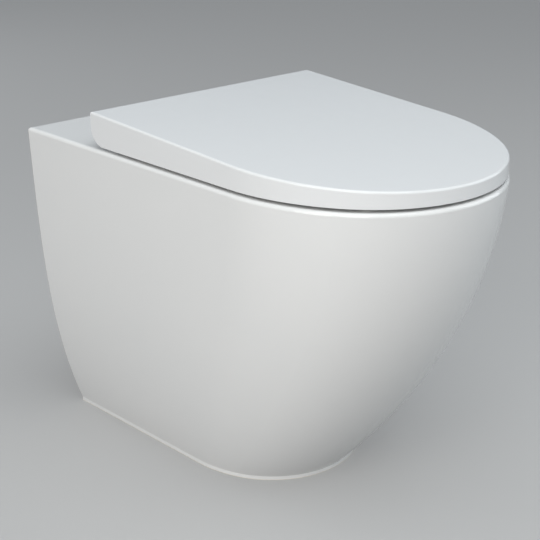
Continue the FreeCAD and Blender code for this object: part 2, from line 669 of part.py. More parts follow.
def make_lid():
    """Wrap-over lid: a wedge in side view, hollow underneath, with its hinge knuckles."""
    body = new_body("lid")
    outline = new_sketch(body, "LidOutline", "XY_Plane", lid_base)
    shoe_outline(outline, "rim_half_width - lid_inset", "rim_narrowing", f"{rim_side} - lid_inset",
                 f"{rim_nose} - lid_inset", lid_nose)
    pad(body, "LidBlank", outline, "lid_rear_height")

    trim = new_sketch(body, "LidTrim", "YZ_Plane", "-rim_half_width")
    high = f"{lid_top} + overcut"
    polygon(trim, [
        ("-lid_rear", f"{lid_base} - overcut"),
        ("-lid_rear", lid_top),
        (f"-{lid_nose}", f"{lid_base} + lid_nose_height"),
        (f"-{lid_nose} - overcut", f"{lid_base} + lid_nose_height"),
        (f"-{lid_nose} - overcut", high),
        ("overcut", high),
        ("overcut", f"{lid_base} - overcut"),
    ])
    wedge = pad(body, "LidWedge", trim, "2*rim_half_width", reverse=True, cut=True)
    doc.recompute()
    low = number(lid_base)
    flat = [f"Face{i}" for i, face in enumerate(wedge.Shape.Faces, 1) if face.BoundBox.ZMax < low + touch]
    shell = body.newObject("PartDesign::Thickness", "LidShell")
    shell.Base = (wedge, flat)
    shell.Reversed = True
    shell.Mode = "Skin"
    shell.Join = "Intersection"
    bind(shell, Value="lid_wall")

    heel = new_sketch(body, "LidHeelOutline", "YZ_Plane", "-rim_half_width")
    rear, low_z, reach = [number(text) for text in ("lid_rear", lid_base, "lid_heel_radius")]
    centre = FreeCAD.Vector(-rear - reach, low_z + reach, 0)
    out = number("overcut")
    start = FreeCAD.Vector(-rear, low_z + reach, 0)
    end = FreeCAD.Vector(-rear - reach, low_z, 0)
    corners = [end, FreeCAD.Vector(end.x, low_z - out, 0), FreeCAD.Vector(out - rear, low_z - out, 0),
               FreeCAD.Vector(out - rear, start.y, 0), start]
    heel_circle = Part.Circle(centre, FreeCAD.Vector(0, 0, 1), reach)
    arc = heel.addGeometry(Part.ArcOfCircle(heel_circle, -math.pi / 2, 0))
    lines = [heel.addGeometry(Part.LineSegment(a, b)) for a, b in zip(corners, corners[1:])]
    heel.addConstraint(Sketcher.Constraint("Coincident", arc, 1, lines[0], 1))
    heel.addConstraint(Sketcher.Constraint("Coincident", arc, 2, lines[-1], 2))
    for first, second in zip(lines, lines[1:]):
        heel.addConstraint(Sketcher.Constraint("Coincident", first, 2, second, 1))
    place_point(heel, lines[0], 1, "-lid_rear - lid_heel_radius", lid_base)
    place_point(heel, lines[1], 1, "-lid_rear - lid_heel_radius", f"{lid_base} - overcut")
    place_point(heel, lines[2], 1, "overcut - lid_rear", f"{lid_base} - overcut")
    place_point(heel, lines[3], 1, "overcut - lid_rear", f"{lid_base} + lid_heel_radius")
    place_point(heel, lines[3], 2, "-lid_rear", f"{lid_base} + lid_heel_radius")
    dimension(heel, "Radius", arc, "lid_heel_radius")
    heel_cut = pad(body, "LidHeel", heel, "2*rim_half_width", reverse=True, cut=True)

    nose_top = number(f"{lid_base} + lid_nose_height")
    slope = number(lid_fall)
    top = number(lid_top)

    def top_edge(edge):
        points = [edge.valueAt(edge.FirstParameter), edge.valueAt(edge.LastParameter)]
        on_slope = all(abs(top - slope * (-p.y - rear) - p.z) < touch for p in points)
        return on_slope and points[0].z > nose_top - touch

    round_edges(body, "LidEdge", heel_cut, top_edge, "lid_edge_rounding")

    web_rear = "-hinge_distance + knuckle_web/2"
    web_front = "-hinge_distance - knuckle_web/2"
    web_top = f"{lid_top} - lid_wall/2 - {lid_fall}*(hinge_distance + knuckle_web/2 - lid_rear)"
    spans = (
        ("Right", lid_knuckle_start, f"{lid_knuckle_start} + lid_knuckle_width"),
        ("Left", f"-{lid_knuckle_start} - lid_knuckle_width", f"-{lid_knuckle_start}"),
        ("Damper", "damper_inner - housing_wall", housing_end),
    )
    for name, start_x, end_x in spans:
        box(body, f"Web{name}", (start_x, web_front, axis_z), (end_x, web_rear, web_top))
        cylinder(body, f"Knuckle{name}", ALONG_X, (start_x, "-hinge_distance", axis_z),
                 "knuckle_radius", f"({end_x}) - ({start_x})")
    pin_reach = "(lid_knuckle_width - pin_end_gap + pin_end_play)"
    pin_hole = "pin_radius + fit_clearance"
    cylinder(body, "PinBoreRight", ALONG_X, (lid_knuckle_start, "-hinge_distance", axis_z),
             pin_hole, pin_reach, cut=True)
    cylinder(body, "PinBoreLeft", ALONG_X, (f"-{lid_knuckle_start} - {pin_reach}", "-hinge_distance", axis_z),
             pin_hole, pin_reach, cut=True)
    cylinder(body, "DamperBore", ALONG_X, ("damper_inner", "-hinge_distance", axis_z),
             "damper_radius + fit_clearance", f"{housing_end} - damper_inner", cut=True)
    notch_in = "block_inner - lid_notch_gap"
    notch_out = "block_outer + lid_notch_gap"
    notch_rear = "overcut - lid_rear"
    notch_front = "-lid_rear - lid_wall"
    notch_top = f"{lid_top} - lid_wall - {lid_fall}*lid_wall"
    box(body, "HingeNotchRight", (notch_in, notch_front, f"{lid_base} - overcut"),
        (notch_out, notch_rear, notch_top), cut=True)
    box(body, "HingeNotchLeft", (f"-({notch_out})", notch_front, f"{lid_base} - overcut"),
        (f"-({notch_in})", notch_rear, notch_top), cut=True)
    return body


def make_seat_ring():
    """Seat ring with its opening, hinge ears and the housing of the seat damper."""
    body = new_body("seat_ring")
    outline = new_sketch(body, "RingOutline", "XY_Plane", ring_low)
    shoe_outline(outline, f"rim_half_width - {ring_inset}", "rim_narrowing", f"{rim_side} - {ring_inset}",
                 f"{rim_nose} - {ring_inset}", ring_nose)
    pad(body, "RingBlank", outline, "ring_rear_thickness")

    trim = new_sketch(body, "RingTrim", "YZ_Plane", "-rim_half_width")
    low = f"{ring_low} - overcut"
    high = f"{ring_low} + ring_rear_thickness + overcut"
    polygon(trim, [
        ("-ring_rear", low),
        ("-ring_rear", f"{ring_low} + ring_rear_thickness"),
        (f"-{ring_nose}", f"{ring_low} + ring_nose_thickness"),
        (f"-{ring_nose} - overcut", f"{ring_low} + ring_nose_thickness"),
        (f"-{ring_nose} - overcut", high),
        ("overcut", high),
        ("overcut", low),
    ])
    pad(body, "RingWedge", trim, "2*rim_half_width", reverse=True, cut=True)
    hole = new_sketch(body, "RingHoleOutline", "XY_Plane", ring_low)
    hole_front = "(pan_depth - ring_front_land)"
    hole_half = f"({hole_front} - ring_hole_rear - ring_hole_side)/2"
    oval_outline(hole, hole_half, "ring_hole_rear", hole_front)
    opened = pad(body, "RingHole", hole, "ring_rear_thickness + overcut", reverse=True, cut=True)
    rear, slope = number("ring_rear"), number(ring_fall)
    top = number(f"{ring_low} + ring_rear_thickness")

    def top_edge(edge):
        points = [edge.valueAt(edge.FirstParameter), edge.valueAt(edge.LastParameter)]
        on_top = all(abs(top - slope * (-p.y - rear) - p.z) < touch for p in points)
        return on_top and any(-p.y > rear + touch for p in points)

    round_edges(body, "RingEdge", opened, top_edge, "ring_edge_rounding")

    ears = (
        ("Right", knuckle_start, "seat_knuckle_width"),
        ("Left", f"-{knuckle_start} - seat_knuckle_width", "seat_knuckle_width"),
        ("Damper", "housing_wall - damper_inner - housing_ear_width", "housing_ear_width"),
    )
    for name, start_x, width in ears:
        ear = new_sketch(body, f"Ear{name}Outline", "YZ_Plane", start_x)
        polygon(ear, [
            ("-hinge_distance", f"{axis_z} + ear_half"),
            ("-ring_rear - ear_root", f"{ring_low} + ring_rear_thickness - ear_root*{ring_fall}"),
            ("-ring_rear - ear_root", ring_low),
            ("-ring_rear", ring_low),
            ("-ring_rear + ear_slope_run", f"{axis_z} - ear_half"),
            ("-hinge_distance", f"{axis_z} - ear_half"),
        ])
        pad(body, f"Ear{name}", ear, width)
    barrels = (
        ("Right", knuckle_start, "seat_knuckle_width"),
        ("Left", f"-{knuckle_start} - seat_knuckle_width", "seat_knuckle_width"),
        ("Damper", f"-{housing_end}", f"{housing_end} - damper_inner + housing_wall"),
    )
    for name, start_x, width in barrels:
        cylinder(body, f"Knuckle{name}", ALONG_X, (start_x, "-hinge_distance", axis_z),
                 "knuckle_radius", width)
    for name, start_x, width in barrels[:2]:
        cylinder(body, f"PinBore{name}", ALONG_X, (start_x, "-hinge_distance", axis_z),
                 "pin_radius + fit_clearance", width, cut=True)
    cylinder(body, "DamperBore", ALONG_X, (f"-{housing_end}", "-hinge_distance", axis_z),
             "damper_radius + fit_clearance", f"{housing_end} - damper_inner", cut=True)
    return body


def make_hinge_block():
    """Right-hand hinge block: sits on the stud flange and carries the hinge line on an arm."""
    body = new_body("hinge_block_right")
    profile = new_sketch(body, "BlockProfile", "YZ_Plane", "block_inner")
    block_top = f"{block_base} + block_height"
    polygon(profile, [
        ("-hinge_distance", f"{axis_z} + arm_above"),
        ("-block_rear", f"{axis_z} + arm_above"),
        ("-block_rear - block_length", block_top),
        ("-block_rear - block_length", block_base),
        ("-block_rear", block_base),
        ("-block_rear", f"{axis_z} - arm_below"),
        ("-hinge_distance", f"{axis_z} - arm_below"),
    ])
    width = "block_outer - block_inner"
    raised = pad(body, "Block", profile, width)
    edge_rear = -number("block_rear")
    crown = number(block_top)

    def sharp_edge(edge):
        points = [edge.valueAt(edge.FirstParameter), edge.valueAt(edge.LastParameter)]
        on_crown = all(p.z > crown - touch for p in points)
        at_front = all(p.y < edge_rear - touch for p in points)
        along_side = abs(points[0].x - points[1].x) < touch
        upright = along_side and abs(points[0].z - points[1].z) > touch
        return (on_crown and (along_side or at_front)) or (upright and at_front)

    round_edges(body, "BlockEdges", raised, sharp_edge, "block_rounding")
    cylinder(body, "Barrel", ALONG_X, ("block_inner", "-hinge_distance", axis_z), "knuckle_radius", width)
    cylinder(body, "PinBore", ALONG_X, ("pin_inner - fit_clearance", "-hinge_distance", axis_z),
             "pin_radius + fit_clearance", "block_outer - pin_inner + fit_clearance", cut=True)
    cylinder(body, "DamperShaftBore", ALONG_X, ("block_inner", "-hinge_distance", axis_z),
             "damper_shaft_radius + fit_clearance",
             "damper_shaft_outer - block_inner + fit_clearance", cut=True)
    cylinder(body, "StudSocket", UPWARD, ("stud_spread", "-stud_distance", block_base),
             "stud_radius + stud_clearance", "stud_top + stud_clearance", cut=True)
    box(body, "LatchSlot",
        ("block_inner", "-stud_distance - slot_width/2", "pan_height + slot_base"),
        ("block_outer - slot_end_wall", "-stud_distance + slot_width/2",
         "pan_height + slot_base + slot_height"),
        cut=True)
    return body


def make_release_button():
    """Right-hand release button: a head with a latch plate whose hole hooks the stud's neck."""
    body = new_body("release_button_right")
    plate_low = "pan_height + slot_base + latch_clearance"
    plate_high = "pan_height + slot_base + slot_height - latch_clearance"
    head_outer = "(block_inner - latch_travel - latch_clearance)"
    middle = "(pan_height + slot_base + slot_height/2)"
    head = box(body, "Head",
               (f"{head_outer} - button_thickness", "-stud_distance - button_width/2",
                f"{middle} - button_height/2"),
               (head_outer, "-stud_distance + button_width/2", f"{middle} + button_height/2"))
    face_x = number(f"{head_outer} - button_thickness")

    def front_edge(edge):
        return all(abs(vertex.X - face_x) < touch for vertex in edge.Vertexes)

    round_edges(body, "HeadEdge", head, front_edge, "button_rounding")
    box(body, "LatchPlate",
        (head_outer, "-stud_distance - slot_width/2 + latch_clearance", plate_low),
        ("latch_end", "-stud_distance + slot_width/2 - latch_clearance", plate_high))
    cylinder(body, "LatchHole", UPWARD,
             ("stud_spread - latch_travel", "-stud_distance", f"{plate_low} - overcut"),
             "latch_hole", "slot_height + 2*overcut", cut=True)
    return body


def make_button_spring():
    """Right-hand return spring behind the latch plate."""
    body = new_body("button_spring_right")
    section = new_sketch(body, "Wire", "XZ_Plane", "stud_distance")
    bind(section, AttachmentOffset__Base__x=f"{spring_start} + spring_wire",
         AttachmentOffset__Base__y="pan_height + slot_base + slot_height/2")
    wire = section.addGeometry(Part.Circle(FreeCAD.Vector(0, number("spring_radius"), 0),
                                           FreeCAD.Vector(0, 0, 1), number("spring_wire")))
    section.addConstraint(Sketcher.Constraint("PointOnObject", wire, 3, -2))
    dimension(section, "DistanceY", -1, 1, wire, 3, "spring_radius")
    dimension(section, "Radius", wire, "spring_wire")
    coil = body.newObject("PartDesign::AdditiveHelix", "Coil")
    coil.Profile = section
    coil.ReferenceAxis = (section, ["H_Axis"])
    coil.Mode = "height-turns-angle"
    bind(coil, Turns="spring_turns")
    bind(coil, Height=f"block_outer - slot_end_wall - {spring_start} - 3*spring_wire")
    return body


def make_hinge_pin():
    """Right-hand hinge pin through the block, the seat knuckle and the lid knuckle."""
    body = new_body("hinge_pin_right")
    pin_outer = f"({lid_knuckle_start} + lid_knuckle_width - pin_end_gap)"
    cylinder(body, "Pin", ALONG_X, ("pin_inner", "-hinge_distance", axis_z),
             "pin_radius", f"{pin_outer} - pin_inner")
    return body


def make_damper(label):
    """Damper cylinder with the bore that its shaft turns in."""
    body = new_body(label)
    length = f"({housing_end} - damper_rim - damper_inner)"
    cylinder(body, "Cylinder", ALONG_X, ("damper_inner", "-hinge_distance", axis_z), "damper_radius", length)
    cylinder(body, "ShaftBore", ALONG_X, ("damper_shaft_inner - damper_rim", "-hinge_distance", axis_z),
             "damper_shaft_radius + fit_clearance", f"{housing_end} - damper_shaft_inner", cut=True)
    return body


def make_damper_shaft(label):
    """Damper shaft, held still in the hinge block."""
    body = new_body(label)
    cylinder(body, "Shaft", ALONG_X, ("damper_shaft_inner", "-hinge_distance", axis_z),
             "damper_shaft_radius", "damper_shaft_outer - damper_shaft_inner")
    return body


def make_stud():
    """Seat stud: threaded below, a flange on the deck and a grooved head for the latch."""
    body = new_body("seat_stud")
    foot = f"({deck_top} - stud_drop)"
    neck = f"({block_base} + stud_neck_base)"
    tip = f"({block_base} + stud_top)"
    flange = f"({deck_top} + gasket_thickness)"
    turned(body, "Stud", [
        ("0", foot),
        ("stud_radius", foot),
        ("stud_radius", flange),
        ("stud_flange_radius", flange),
        ("stud_flange_radius", block_base),
        ("stud_radius", block_base),
        ("stud_radius", neck),
        ("stud_neck", neck),
        ("stud_neck", f"{neck} + stud_neck_length"),
        ("stud_radius", f"{neck} + stud_neck_length"),
        ("stud_radius", f"{tip} - stud_radius/2"),
        ("stud_radius/2", tip),
        ("0", tip),
    ], "stud_spread", "stud_distance")
    return body


def make_washer(label, low, high, radius, across="stud_spread", distance="stud_distance"):
    """Flat ring round a stud or bolt."""
    body = new_body(label)
    inner = "stud_radius + latch_clearance"
    turned(body, "Ring", [(inner, low), (radius, low), (radius, high), (inner, high)], across, distance)
    return body


def make_bush():
    """Rubber bush in the deck hole with a flange under the deck."""
    body = new_body("stud_bush")
    inner = "stud_radius + latch_clearance"
    low = f"({deck_under} - bush_flange_thickness)"
    turned(body, "Bush", [
        (inner, low),
        ("bush_flange_radius", low),
        ("bush_flange_radius", deck_under),
        ("deck_hole - stud_clearance", deck_under),
        ("deck_hole - stud_clearance", deck_top),
        (inner, deck_top),
    ], "stud_spread", "stud_distance")
    return body


def make_wing_nut():
    """Wing nut under the deck, drawn up against the bush."""
    body = new_body("wing_nut")
    high = f"({deck_under} - bush_flange_thickness)"
    low = f"({high} - wing_nut_height)"
    bore = "stud_radius + latch_clearance"
    cylinder(body, "Hub", UPWARD, ("stud_spread", "-stud_distance", low),
             "wing_hub_radius", "wing_nut_height")
    wings = box(body, "Wings",
                ("stud_spread - wing_span/2", "-stud_distance - wing_thickness/2", low),
                ("stud_spread + wing_span/2", "-stud_distance + wing_thickness/2",
                 f"{high} - wing_thickness"))
    middle, reach = number("stud_spread"), number("wing_span/2")

    def tip_edge(edge):
        at_tip = all(abs(abs(vertex.X - middle) - reach) < touch for vertex in edge.Vertexes)
        return at_tip and abs(edge.Vertexes[0].Z - edge.Vertexes[-1].Z) < touch

    round_edges(body, "WingTips", wings, tip_edge, "wing_tip_rounding")
    cylinder(body, "Thread", UPWARD, ("stud_spread", "-stud_distance", f"{low} - overcut"),
             bore, "wing_nut_height + 2*overcut", cut=True)
    return body


def hexagon(body, name, low, height):
    sketch = new_sketch(body, f"{name}Outline", "XY_Plane", low)
    points = []
    for corner in range(6):
        turn = math.radians(60 * corner)
        points.append((f"{bolt_across} + hex_radius*{math.cos(turn):.6f}",
                       f"-{bolt_distance} + hex_radius*{math.sin(turn):.6f}"))
    polygon(sketch, points)
    return pad(body, name, sketch, height)


def make_clamp_bolt():
    """Bolt that draws the pan's ledge down on to its floor bracket."""
    body = new_body("clamp_bolt")
    seat = f"({ledge_top} + washer_thickness)"
    hexagon(body, "Head", seat, "bolt_head")
    cylinder(body, "Shank", UPWARD, (bolt_across, f"-{bolt_distance}", "bolt_end"),
             "bolt_radius", f"{seat} - bolt_end")
    return body


def make_bracket_nut():
    body = new_body("bracket_nut")
    low = "(ledge_base - bracket_plate - nut_height)"
    hexagon(body, "Nut", low, "nut_height")
    cylinder(body, "Thread", UPWARD, (bolt_across, f"-{bolt_distance}", f"{low} - overcut"),
             "bolt_radius + latch_clearance", "nut_height + 2*overcut", cut=True)
    return body


def make_floor_bracket():
    """Right-hand floor bracket: base screwed to the floor, upright web and top plate under the ledge."""
    body = new_body("floor_bracket_right")
    half_top = "bracket_top_length/2"
    box(body, "Base", (bracket_inner, f"-{bolt_distance} - bracket_length/2", "0"),
        (bracket_outer, f"-{bolt_distance} + bracket_length/2", "bracket_plate"))
    box(body, "Web", (bracket_inner, f"-{bolt_distance} - {half_top}", "0"),
        (f"{bracket_inner} + bracket_plate", f"-{bolt_distance} + {half_top}", "ledge_base"))
    top_plate = box(body, "TopPlate",
                    (bracket_inner, f"-{bolt_distance} - {half_top}", "ledge_base - bracket_plate"),
                    (bracket_outer, f"-{bolt_distance} + {half_top}", "ledge_base"))
    plate = number("bracket_plate")

    def plate_corner(edge):
        rise = abs(edge.Vertexes[0].Z - edge.Vertexes[-1].Z)
        return abs(rise - plate) < touch and abs(edge.Length - plate) < touch

    round_edges(body, "PlateCorners", top_plate, plate_corner, "bracket_corner")
    cylinder(body, "BoltHole", UPWARD,
             (bolt_across, f"-{bolt_distance}", "ledge_base - bracket_plate - overcut"),
             "bolt_radius + latch_clearance", "bracket_plate + 2*overcut", cut=True)
    for name, shift in (("Front", "-floor_screw_spacing/2"), ("Rear", "floor_screw_spacing/2")):
        cylinder(body, f"ScrewHole{name}", UPWARD, (bolt_across, f"-{bolt_distance} + {shift}", "-overcut"),
                 "floor_screw_hole", "bracket_plate + 2*overcut", cut=True)
    return body


def make_inlet_seal():
    """Ridged rubber sleeve in the inlet socket, for the flush pipe."""
    body = new_body("inlet_seal")
    sketch = new_sketch(body, "SealProfile", "YZ_Plane")
    bind(sketch, AttachmentOffset__Base__y=inlet_level)
    outer = "(inlet_bore - stud_clearance)"
    waist = f"({outer} - seal_ridge)"
    face = "-inlet_recess"
    cuff_end = "seal_cuff_length - inlet_recess"
    flange_face = "seal_flange_thickness - inlet_recess"
    cuff_outer = "seal_bore + seal_cuff_wall"
    points = [(cuff_end, "seal_bore"), (cuff_end, cuff_outer), (flange_face, cuff_outer),
              (flange_face, "seal_flange_radius"), (face, "seal_flange_radius"), (face, outer)]
    ridges = 4
    for ridge in range(ridges):
        crown = f"{face} - seal_length*{(ridge + 0.5) / ridges}"
        valley = f"{face} - seal_length*{(ridge + 1) / ridges}"
        points.append((crown, waist))
        points.append((valley, outer if ridge < ridges - 1 else waist))
    relief = "seal_bore + seal_relief"
    points.extend([(f"{face} - seal_length", relief), (flange_face, relief), (flange_face, "seal_bore")])
    polygon(sketch, points)
    seal = body.newObject("PartDesign::Revolution", "Seal")
    seal.Profile = sketch
    seal.ReferenceAxis = (sketch, ["H_Axis"])
    seal.Angle = 360
    return body


def make_seat_bumpers():
    """Four rubber bumpers under the seat ring, standing on the rim."""
    body = new_body("seat_bumpers")
    rear_spread = "(rim_half_width - rear_bumper_inset)"
    front_spread = "(rim_half_width*front_bumper_share)"
    front_distance = "(pan_depth - front_bumper_setback)"
    places = (
        ("RearRight", rear_spread, "rear_bumper_distance"),
        ("RearLeft", f"-{rear_spread}", "rear_bumper_distance"),
        ("FrontRight", front_spread, front_distance),
        ("FrontLeft", f"-{front_spread}", front_distance),
    )
    for name, across, distance in places:
        cylinder(body, name, UPWARD, (across, f"-{distance}", deck_top), "seat_bumper_radius", "ring_base")
    return body


def make_lid_bumpers():
    """Two rubber bumpers under the lid, square to its underside, just above the seat ring."""
    body = new_body("lid_bumpers")
    lean = math.atan(number(lid_fall))
    down = (0, math.sin(lean), -math.cos(lean))
    distance = "(pan_depth - lid_bumper_setback)"
    spread = "(rim_half_width*lid_bumper_share)"
    underside = f"({lid_top} - lid_wall*sqrt(1 + {lid_fall}^2) - {lid_fall}*({distance} - lid_rear))"
    ring_face = f"({ring_low} + ring_rear_thickness - {ring_fall}*({distance} - ring_rear))"
    length = f"{underside} - {ring_face} - bumper_seat_gap"
    for name, across in (("Right", spread), ("Left", f"-{spread}")):
        cylinder(body, name, down, (across, f"-{distance}", underside), "lid_bumper_radius", length)
    return body


def make_all():
    block = make_hinge_block()
    button = make_release_button()
    spring = make_button_spring()
    pin = make_hinge_pin()
    bracket = make_floor_bracket()
    pieces = [
        make_pan(),
        make_lid(),
        make_seat_ring(),
        block,
        mirrored(block, "hinge_block_left"),
        button,
        mirrored(button, "release_button_left"),
        spring,
        mirrored(spring, "button_spring_left"),
        pin,
        mirrored(pin, "hinge_pin_left"),
        make_damper("damper_lid"),
        make_damper_shaft("damper_lid_shaft"),
        bracket,
        mirrored(bracket, "floor_bracket_left"),
        make_inlet_seal(),
        make_seat_bumpers(),
        make_lid_bumpers(),
        mirrored(make_damper("damper_pattern"), "damper_seat"),
        mirrored(make_damper_shaft("damper_shaft_pattern"), "damper_seat_shaft"),
        pair(make_stud(), "seat_studs"),
        pair(make_washer("stud_gasket", deck_top, f"{deck_top} + gasket_thickness", "gasket_radius"),
             "stud_gaskets"),
        pair(make_bush(), "stud_bushes"),
        pair(make_wing_nut(), "wing_nuts"),
        pair(make_clamp_bolt(), "clamp_bolts"),
        pair(make_washer("clamp_washer", ledge_top, f"{ledge_top} + washer_thickness", "washer_radius",
                         bolt_across, bolt_distance), "clamp_washers"),
        pair(make_bracket_nut(), "bracket_nuts"),
    ]
    doc.recompute()
    return pieces


pieces = make_all()
for item in doc.Objects:
    if "Invalid" in item.State or "Error" in item.State:
        raise RuntimeError(f"{item.Label} did not build: {item.State}")
for piece in pieces:
    if piece.Shape.isNull() or not piece.Shape.isValid():
        raise RuntimeError(f"{piece.Label} has no sound shape")
os.makedirs("parts", exist_ok=True)
for piece in pieces:
    piece.Shape.exportStep(f"parts/{piece.Label}.step")
    print(piece.Label, len(piece.Shape.Solids), round(piece.Shape.Volume / 1000, 2))
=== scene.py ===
import bpy
import bmesh
import json
import math
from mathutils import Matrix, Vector


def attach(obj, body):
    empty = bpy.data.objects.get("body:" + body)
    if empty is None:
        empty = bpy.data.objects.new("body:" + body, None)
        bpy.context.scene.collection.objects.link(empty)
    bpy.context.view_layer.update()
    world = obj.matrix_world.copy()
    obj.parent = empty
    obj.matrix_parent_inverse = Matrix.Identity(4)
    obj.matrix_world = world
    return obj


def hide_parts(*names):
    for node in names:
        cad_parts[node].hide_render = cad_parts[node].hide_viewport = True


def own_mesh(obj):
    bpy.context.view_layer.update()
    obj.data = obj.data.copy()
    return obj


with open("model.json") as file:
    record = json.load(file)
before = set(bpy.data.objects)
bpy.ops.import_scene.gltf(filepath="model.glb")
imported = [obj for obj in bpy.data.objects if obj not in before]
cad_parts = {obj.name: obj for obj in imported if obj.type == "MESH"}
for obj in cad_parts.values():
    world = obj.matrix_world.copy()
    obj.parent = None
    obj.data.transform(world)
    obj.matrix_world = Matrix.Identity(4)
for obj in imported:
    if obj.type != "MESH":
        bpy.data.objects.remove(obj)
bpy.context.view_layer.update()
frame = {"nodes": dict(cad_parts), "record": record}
nodes = frame["nodes"]
print("frame loaded:", len(nodes), "nodes")

view = {
    "place": (-0.9818, -1.0515, 0.7979),
    "turn": (68.91, 0.0, -42.17),  # degrees
    "lens": 83.5,
    "sensor": 36.0,
}
bpy.ops.object.select_all(action="DESELECT")
bpy.ops.object.camera_add(location=view["place"], rotation=[math.radians(a) for a in view["turn"]])
camera = bpy.context.object
camera.name = "photoCamera"
camera.data.lens = view["lens"]
camera.data.sensor_width = view["sensor"]
bpy.context.scene.camera = camera
print("camera set")

studio = {
    "floorSize": 90.0,
    "floorColour": (0.37, 0.37, 0.366),
    "floorBounce": (0.25, 0.25, 0.25),
    "floorLift": 0.13,  # evens out the floor as it is seen, and lights nothing
    "floorRough": 0.7,
    "sky": (0.84, 0.92, 1.0),
    "skyStrength": 0.30,
    "lamps": [
        # name, place, aim, width, watts, colour
        ("keyLamp", (-2.3, -1.25, 1.25), (0.0, 0.0, 0.25), 2.4, 53.0, (1.0, 0.975, 0.94)),
        ("topLamp", (-0.4, -0.7, 2.3), (0.0, 0.0, 0.4), 1.8, 23.5, (0.94, 0.98, 1.0)),
        ("fillLamp", (1.9, -1.3, 0.95), (0.0, 0.0, 0.2), 1.8, 19.5, (0.94, 0.98, 1.0)),
        ("rearLamp", (-0.4, 3.4, 0.75), (0.0, 0.2, 0.2), 1.2, 17.0, (0.96, 0.98, 1.0)),
    ],
}
scene = bpy.context.scene
scene.view_settings.view_transform = "Standard"
world = bpy.data.worlds.new("studioAir")
scene.world = world
world.use_nodes = True
air = world.node_tree.nodes["Background"]
air.inputs["Color"].default_value = (*studio["sky"], 1.0)
air.inputs["Strength"].default_value = studio["skyStrength"]

bpy.ops.object.select_all(action="DESELECT")
bpy.ops.mesh.primitive_plane_add(size=studio["floorSize"])
floor = bpy.context.object
floor.name = "studioFloor"
floorPaint = bpy.data.materials.new("studioFloor")
floorPaint.use_nodes = True
floorTree = floorPaint.node_tree
floorShader = floorTree.nodes["Principled BSDF"]
rays = floorTree.nodes.new("ShaderNodeLightPath")
seen = floorTree.nodes.new("ShaderNodeMath")
seen.operation = "MAXIMUM"
seenAgain = floorTree.nodes.new("ShaderNodeMath")
seenAgain.operation = "MAXIMUM"
floorTree.links.new(rays.outputs["Is Camera Ray"], seen.inputs[0])
floorTree.links.new(rays.outputs["Is Glossy Ray"], seen.inputs[1])
floorTree.links.new(seen.outputs["Value"], seenAgain.inputs[0])
floorTree.links.new(rays.outputs["Is Transmission Ray"], seenAgain.inputs[1])
floorTone = floorTree.nodes.new("ShaderNodeMix")
floorTone.data_type = "RGBA"
floorTone.inputs["A"].default_value = (*studio["floorBounce"], 1.0)
floorTone.inputs["B"].default_value = (*studio["floorColour"], 1.0)
floorTree.links.new(seenAgain.outputs["Value"], floorTone.inputs["Factor"])
floorTree.links.new(floorTone.outputs["Result"], floorShader.inputs["Base Color"])
lift = floorTree.nodes.new("ShaderNodeMath")
lift.operation = "MULTIPLY"
lift.inputs[1].default_value = studio["floorLift"]
floorTree.links.new(seenAgain.outputs["Value"], lift.inputs[0])
floorTree.links.new(lift.outputs["Value"], floorShader.inputs["Emission Strength"])
floorShader.inputs["Emission Color"].default_value = (1.0, 1.0, 1.0, 1.0)
floorShader.inputs["Roughness"].default_value = studio["floorRough"]
floor.data.materials.append(floorPaint)

for name, place, aim, width, watts, colour in studio["lamps"]:
    bpy.ops.object.light_add(type="AREA", location=place)
    lamp = bpy.context.object
    lamp.name = name
    lamp.rotation_euler = (Vector(aim) - Vector(place)).to_track_quat("-Z", "Y").to_euler()
    lamp.data.size = width
    lamp.data.energy = watts
    lamp.data.color = colour
    lamp.visible_camera = False
print("studio lit")


# node groups shared by the finishes

noiseSpan = (0.3, 0.7)  # where nearly all of a noise lies
driftDetail = {"Tone Scale": 3.0, "Gloss Scale": 4.0, "Wave Scale": 1.0}
grainDetail = 3.0


def newGroup(name, inputs, outputs):
    group = bpy.data.node_groups.new(name, "ShaderNodeTree")
    for label, kind, value in inputs:
        socket = group.interface.new_socket(name=label, in_out="INPUT", socket_type=kind)
        if value is not None:
            socket.default_value = value
    for label, kind in outputs:
        group.interface.new_socket(name=label, in_out="OUTPUT", socket_type=kind)
    return group, group.nodes.new("NodeGroupInput"), group.nodes.new("NodeGroupOutput")


def addNode(tree, kind, **settings):
    node = tree.nodes.new(kind)
    for name, value in settings.items():
        setattr(node, name, value)
    return node


